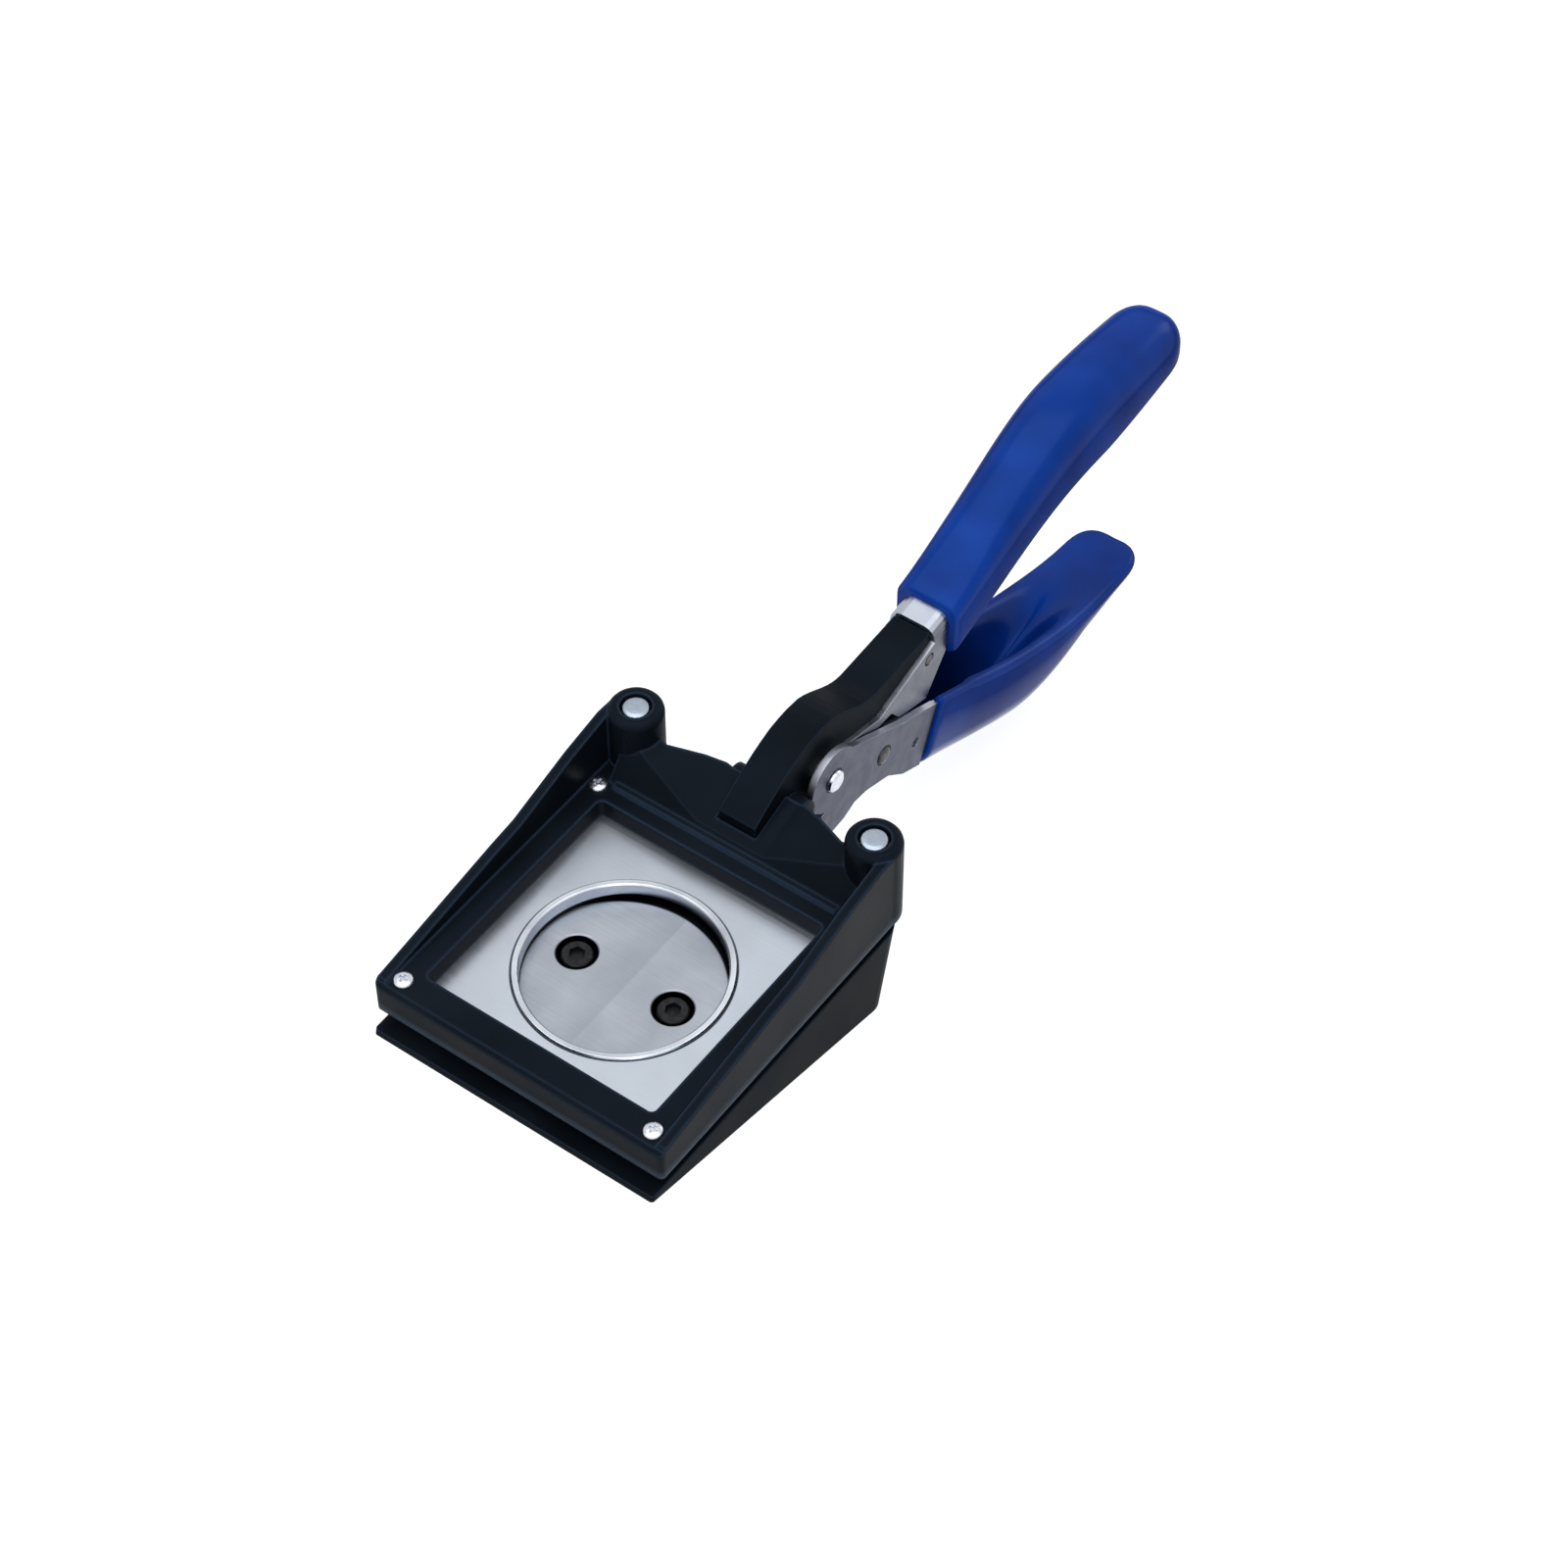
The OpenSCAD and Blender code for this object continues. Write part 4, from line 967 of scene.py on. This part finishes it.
@dataclass
class UpperGrip(DippedGrip):
    """Grip of the fixed handle: it rises to a broad crest and droops to its tip, open below.

    Attributes:
        bare: Bare steel in front of the mouth.
        web_h: Height of the steel web at its front.
        crest_h: Height of the web at the crest.
        crest: Distance from the pivot back to the crest.
        climb_power: Power of the sine of its climb.
        droop: Fall of the web from the crest to the tip.
        crest_depth: Steel depth at the crest.
        tip_loss: Share of that depth lost at the tip.
        loss_power: Power by which it is lost.
        crest_half: Steel half width at the crest.
        widen_from: Place behind the mouth where it widens.
        swell: Extra skin that ran to the mouth and set there.
        swell_len: Length over which it thins out.
        crown: Bulge of the web's outer face.
        crown_ramp: Its ramp from the mouth.
        corner: Radius of the outer corners in half widths, at the mouth and behind.
        corner_ramp: Ramp between the two, from the mouth.
        soft_ramp: Ramp by which the skin rounds the hollow out, from the end.
        fill_ramp: Ramp by which it closes the hollow, from the end.
    """

    vinyl: float = 1.8
    bare: float = 6.4
    web_h: float = 12.4
    crest_h: float = 38.3
    crest: float = 126.0
    climb_power: float = 1.6
    droop: float = 4.0
    depth: float = 12.2
    crest_depth: float = 17.2
    tip_loss: float = 0.5
    loss_power: float = 1.5
    half: float = 7.39
    crest_half: float = 9.9
    widen_from: float = 4.0
    taper: float = 1.0
    steel: float = 1.5
    swell: float = 0.9
    swell_len: float = 55.0
    crown: float = 1.3
    crown_ramp: Span = (2.0, 20.0)
    corner: Span = (0.48, 0.74)
    corner_ramp: Span = (0.0, 40.0)
    soft_ramp: Span = (-50.0, 14.0)
    fill_ramp: Span = (-36.0, 20.0)

    def ring(self, back: float, grow: float) -> list[Vector]:
        """Gives one section, which hangs from the web.

        Args:
            back: Distance behind the mouth.
            grow: Growth of the skin over the steel.

        Returns:
            Points from the pivot, in the die axes, in millimetres.
        """
        grow += self.swell * (1 - ease(back / self.swell_len))
        y, from_end = self.mouth + back, back - self.length
        web_y = self.mouth - self.bare
        rise = clamp((y - web_y) / (self.crest - web_y))
        past = max(0.0, (y - self.crest) / (self.mouth + self.length - self.crest))
        climb = sin(pi / 2 * rise) ** self.climb_power
        web = mix(self.web_h, self.crest_h, climb) - self.droop * past**2
        deep = mix(self.depth, self.crest_depth, ease(rise))
        deep -= self.tip_loss * self.crest_depth * past**self.loss_power
        half = mix(self.half, self.crest_half, ramp(back, self.widen_from, self.crest - self.mouth))
        half -= self.taper * past**2
        left = self.closing(back)
        high, wide = (deep + 2 * grow) * left, (half + grow) * left
        wall = self.steel + 2 * grow
        section = Section(
            wide, high, wall, max(LEAST_INSIDE, wide - wall),
            crown=self.crown * ramp(back, *self.crown_ramp) * left,
            fill=ramp(from_end, *self.fill_ramp),
            share=mix(*self.corner, ramp(back, *self.corner_ramp)),
            soft=ramp(from_end, *self.soft_ramp),
        )
        top = web - deep / 2 + high / 2
        return [Vector((across, y, top - up)) for across, up in section.outline(self.steps)]


@dataclass
class LowerGrip(DippedGrip):
    """Grip of the lever: a trough that opens upwards and flattens to a spoon.

    Attributes:
        drop: Fall of the steel rim from the pivot to the mouth.
        fall: Fall of the rim along the grip.
        level: Length before the end where the rim is level.
        flat: Length over which the full depth stays.
        spoon: Steel depth at the tip.
        spoon_len: Length of the spoon before the end.
        middle_half: Steel half width at the middle.
        widen_ramp: Ramp of the widening, from the mouth.
        taper_ramp: Ramp of the taper, from the mouth.
        shear: Lean of the mouth, so that it lies square to the handle.
        nest: Length behind the mouth where the trough is bare inside.
        nest_end: Length over which the skin comes back there.
        sunk: Depth of the skin's face under the bare steel.
        soft_len: Length behind the nest over which the inside becomes smooth.
        pool_ramp: Ramp by which the vinyl fills the trough, from the mouth.
    """

    drop: float = 14.0
    fall: float = 31.5
    level: float = 3.0
    depth: float = 19.2
    flat: float = 43.0
    spoon: float = 2.4
    spoon_len: float = 6.0
    half: float = 9.69
    middle_half: float = 11.0
    widen_ramp: Span = (6.0, 40.0)
    taper: float = 1.5
    taper_ramp: Span = (60.0, 45.0)
    steel: float = 1.9
    shear: float = 0.4
    nest: float = 12.0
    nest_end: float = 6.0
    sunk: float = 0.06
    soft_len: float = 18.0
    pool_ramp: Span = (30.0, 65.0)
    finish: DippedVinyl = RUBBED_VINYL

    def ring(self, back: float, grow: float) -> list[Vector]:
        """Gives one section, which stands on the web and leans by the shear.

        Args:
            back: Distance behind the mouth.
            grow: Growth of the skin over the steel.

        Returns:
            Points from the pivot, in the die axes, in millimetres.
        """
        y = self.mouth + back
        falling = min(1.0, back / (self.length - self.level))
        rim = -self.drop - self.fall * sin(pi / 2 * falling)
        shallow = ramp(back, self.flat, self.length - self.flat - self.spoon_len)
        deep = mix(self.depth, self.spoon, shallow)
        half = mix(self.half, self.middle_half, ramp(back, *self.widen_ramp))
        half -= self.taper * ramp(back, *self.taper_ramp)
        left = self.closing(back)
        high, wide = (deep + 2 * grow) * left, (half + grow) * left
        wall = self.steel + 2 * grow
        # the skin stays off the inner walls near the mouth, where the fixed handle nests
        bare = (grow + self.sunk) * (1 - ramp(back, self.nest, self.nest_end))
        section = Section(
            wide, high, wall, max(LEAST_INSIDE, wide - wall + bare),
            fill=ramp(back, *self.pool_ramp), soft=ramp(back, self.nest, self.soft_len),
        )
        web = rim - deep / 2 - high / 2
        return [
            Vector((across, y + self.shear * (up - high / 2), web + up))
            for across, up in section.outline(self.steps)
        ]


def dressed(**finishes: Finish) -> Any:
    """Gives a dataclass field with the finish of each CAD node."""
    return field(default_factory=lambda: dict(finishes))


@dataclass
class SubAssembly:
    """Pieces that belong together.

    Attributes:
        finishes: Finish of each CAD node that keeps its mesh.
        grips: Grips that are dipped over them.
    """

    finishes: dict[str, Finish] = dressed()
    grips: tuple[DippedGrip, ...] = ()

    def build(self) -> None:
        """Dresses the CAD nodes and dips the grips."""
        for node, finish in self.finishes.items():
            frame["nodes"][node].material_slots[0].material = finish.material()
            log.info("%s keeps its CAD mesh in %s", node, finish.name)
        for grip in self.grips:
            grip.build()


@dataclass
class Castings(SubAssembly):
    """The wedge base with its arm, and the die frame that slides on it."""

    finishes: dict[str, Finish] = dressed(base_casting=BASE_COAT, die_frame=FRAME_COAT)


@dataclass
class CuttingSet(SubAssembly):
    """The punch on the base, and the plate and ring that pass over it."""

    finishes: dict[str, Finish] = dressed(
        punch=GROUND_PUNCH,
        punch_screws=SCREW_BLACK,
        punch_dowels=PLATED_FASTENER,
        die_plate=GROUND_PLATE,
        die_ring=TURNED_RING,
        die_screws=PLATED_FASTENER,
    )


@dataclass
class Guide(SubAssembly):
    """Guide posts, their bushes and the return springs round them.

    Attributes:
        wire_d: Wire of the springs.
        curls: Curls of one spring.
        rings: Rings of the wire's tube in one curl.
        sides: Sides of the wire's tube.
        end_rings: Rings over which the wire's ends are rounded.
        blunt: Part of one ring by which the very end stays open.
        springs: Names of the CAD springs.
    """

    finishes: dict[str, Finish] = dressed(guide_posts=POST_STEEL, guide_bushes=BRONZE)
    wire_d: float = 1.0
    curls: int = 6
    rings: int = 36
    sides: int = 14
    end_rings: int = 3
    blunt: float = 0.6
    springs: tuple[str, ...] = ("return_spring_left", "return_spring_right")

    def travel(self) -> float:
        """Gives the way of the die head down the posts, in metres."""
        return joint("die_slide")["range_m"][1]

    def coil(self, node: str) -> bpy.types.Object:
        """Winds a smooth spring where a CAD spring stands.

        Args:
            node: Name of the CAD spring.

        Returns:
            The new spring.
        """
        low, high = AXES.box(node)
        wire = self.wire_d / 2 * MM
        middle = (low + high) / 2
        radius = (high.x - low.x) / 2 - wire
        bottom, top = low.z + wire, high.z - wire
        steps = self.curls * self.rings
        points: list[Vector] = []
        for k in range(steps + 1):
            turn = 2 * pi * k / self.rings
            out = Vector((cos(turn), sin(turn), 0))
            seat = Vector((middle.x, middle.y, mix(bottom, top, k / steps)))
            near_end = clamp((min(k, steps - k) + self.blunt) / self.end_rings)
            thin = wire * sin(pi / 2 * near_end)
            for j in range(self.sides):
                side = 2 * pi * j / self.sides
                round_wire = out * cos(side) + Vector((0, 0, sin(side)))
                points.append(AXES.to_world(seat + out * radius + round_wire * thin))
        return smooth_mesh(node + "_coil", points, tube_faces(steps + 1, self.sides))

    def build(self) -> None:
        """Dresses the posts and bushes, and winds the springs."""
        super().build()
        for node in self.springs:
            low, high = AXES.box(node)
            spring = self.coil(node)
            spring.data.materials.append(SPRING_WIRE.material())
            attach(spring, "base")
            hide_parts(node)
            tuple(AXES.to_world(Vector((0, 0, 1))))
            tuple(AXES.to_world(low))
            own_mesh(spring)
            log.info("%s is wound with %d curls", spring.name, self.curls)


@dataclass
class FixedHandle(SubAssembly):
    """Steel channel riveted to the arm, with its grip."""

    finishes: dict[str, Finish] = dressed(upper_channel=PLATED_SHEET, arm_rivet=DARKENED_RIVET)
    grips: tuple[DippedGrip, ...] = (UpperGrip("upper_grip", "base", mouth=56.2, length=115.0),)


@dataclass
class Lever(SubAssembly):
    """Moving handle with its grip, its pivot, and the tongue and pin that push the die frame."""

    finishes: dict[str, Finish] = dressed(
        lever_channel=LEVER_SHEET,
        thrust_tongue=HARD_TONGUE,
        tongue_rivet=DARKENED_RIVET,
        tongue_spacers=PLATED_FASTENER,
        pivot_pin=BRIGHT_PIN,
        pivot_clip=SCREW_BLACK,
        thrust_pin=PLATED_FASTENER,
    )
    grips: tuple[DippedGrip, ...] = (LowerGrip("lower_grip", "lever", mouth=45.4, length=111.0),)


@dataclass
class SoftBox:
    """A soft square lamp, with its place and side in metres and its power in watts."""

    name: str
    place: tuple[float, float, float]
    side: float
    power: float
    colour: str = "#ffffff"

    def build(self, target: Vector) -> None:
        """Hangs the lamp and points it at a target.

        Args:
            target: Point in the frame, in metres.
        """
        lamp = bpy.data.lights.new(self.name, "AREA")
        lamp.size = self.side
        lamp.energy = self.power
        lamp.color = hex_to_linear(self.colour)[:3]
        hung = add_object(self.name, lamp)
        hung.location = self.place
        hung.rotation_mode = "QUATERNION"
        hung.rotation_quaternion = (target - Vector(self.place)).to_track_quat("-Z", "Y")


@dataclass
class Studio:
    """Pale floor, soft lamps, white surroundings and the camera of the photograph.

    Attributes:
        turn: Camera's turn round the die head, in degrees.
        rise: Camera's rise over the die plate, in degrees.
        roll: Camera's roll, in degrees.
        distance: Distance from the camera to its target.
        target: Point of the die axes that the camera looks at, from the hole's middle.
        focal_px: Focal length in pixels of the photograph.
        sensor: Width of the sensor.
        clip: Nearest and farthest distance in view, in metres.
        floor_side: Side of the floor, in metres.
        paper: Colour of the floor.
        glow: Light that lifts the floor to white where it is seen.
        dim: Strength of the light from all round.
        lamps: The lamps.
    """

    turn: float = 36.16
    rise: float = 49.66
    roll: float = -0.2
    distance: float = 1040.5
    target: tuple[float, float, float] = (-3.34, 74.04, 0.0)
    focal_px: float = 4000.0
    sensor: float = 36.0
    clip: Span = (0.05, 20.0)
    floor_side: float = 8.0
    paper: str = "#d0d0d0"
    glow: float = 0.8
    dim: float = 0.2
    lamps: tuple[SoftBox, ...] = (
        SoftBox("key_softbox", (0.1, -0.7, 1.5), side=2.4, power=25.0),
        SoftBox("rear_softbox", (0.3, 1.4, 0.9), side=0.6, power=2.0, colour="#eaf2ff"),
    )

    def floor(self) -> None:
        """Lays the pale floor, which looks white and keeps a faint shadow."""
        half = self.floor_side / 2
        corners = [(-half, -half, 0), (half, -half, 0), (half, half, 0), (-half, half, 0)]
        mesh = bpy.data.meshes.new("studio_floor")
        mesh.from_pydata(corners, [], [(0, 1, 2, 3)])
        laid = add_object("studio_floor", mesh)
        made = bpy.data.materials.new("white_paper_floor")
        tree = fresh_tree(made)
        colour = hex_to_linear(self.paper)
        paper = add_node(tree, "BsdfDiffuse", {"Color": colour}).outputs["BSDF"]
        glow = add_node(tree, "Emission", {"Color": WHITE, "Strength": self.glow})
        both = add_node(tree, "AddShader", {0: glow.outputs["Emission"], 1: paper})
        shown = switch(tree, paper, both.outputs["Shader"])
        add_node(tree, "OutputMaterial", {"Surface": shown})
        mesh.materials.append(made)

    def surroundings(self) -> None:
        """Sets plain grey light all round, behind a backdrop that looks white."""
        world = bpy.data.worlds.new("white_studio")
        bpy.context.scene.world = world
        tree = fresh_tree(world)
        grey, white = (
            add_node(tree, "Background", {"Color": WHITE, "Strength": strength})
            for strength in (self.dim, 1.0)
        )
        shown = switch(tree, grey.outputs["Background"], white.outputs["Background"])
        add_node(tree, "OutputWorld", {"Surface": shown})

    def camera(self) -> None:
        """Sets the camera where the photograph was taken from."""
        turn, rise, roll = (radians(a) for a in (self.turn, self.rise, self.roll))
        level = Vector((cos(turn), sin(turn), 0))
        flat = cos(rise)
        back = Vector((sin(turn) * flat, -cos(turn) * flat, sin(rise)))
        upright = back.cross(level)
        right = level * cos(roll) + upright * sin(roll)
        up = upright * cos(roll) - level * sin(roll)
        place = AXES.hole() + (Vector(self.target) + back * self.distance) * MM
        lens = bpy.data.cameras.new("photo_camera")
        lens.sensor_fit = "HORIZONTAL"
        lens.sensor_width = self.sensor
        lens.lens = self.sensor * self.focal_px / PHOTO_SIDE
        lens.clip_start, lens.clip_end = self.clip
        eye = add_object("photo_camera", lens)
        columns = [AXES.to_world(v) for v in (right, up, back, place)]
        eye.matrix_world = Matrix([[c[i] for c in columns] for i in range(3)] + [[0, 0, 0, 1]])
        bpy.context.scene.camera = eye

    def build(self) -> None:
        """Sets up the whole studio."""
        target = AXES.to_world(AXES.hole() + Vector(self.target) * MM)
        self.floor()
        self.surroundings()
        for lamp in self.lamps:
            lamp.build(target)
        self.camera()
        bpy.context.scene.view_settings.view_transform = "Standard"
        log.info("studio is set with %d lamps", len(self.lamps))


def main() -> None:
    """Builds every sub-assembly in order, then the studio."""
    logging.basicConfig(level=logging.INFO, format="%(message)s")
    for part in (Castings(), CuttingSet(), Guide(), FixedHandle(), Lever(), Studio()):
        log.info("building %s", type(part).__name__)
        part.build()


if __name__ == "__main__":
    main()
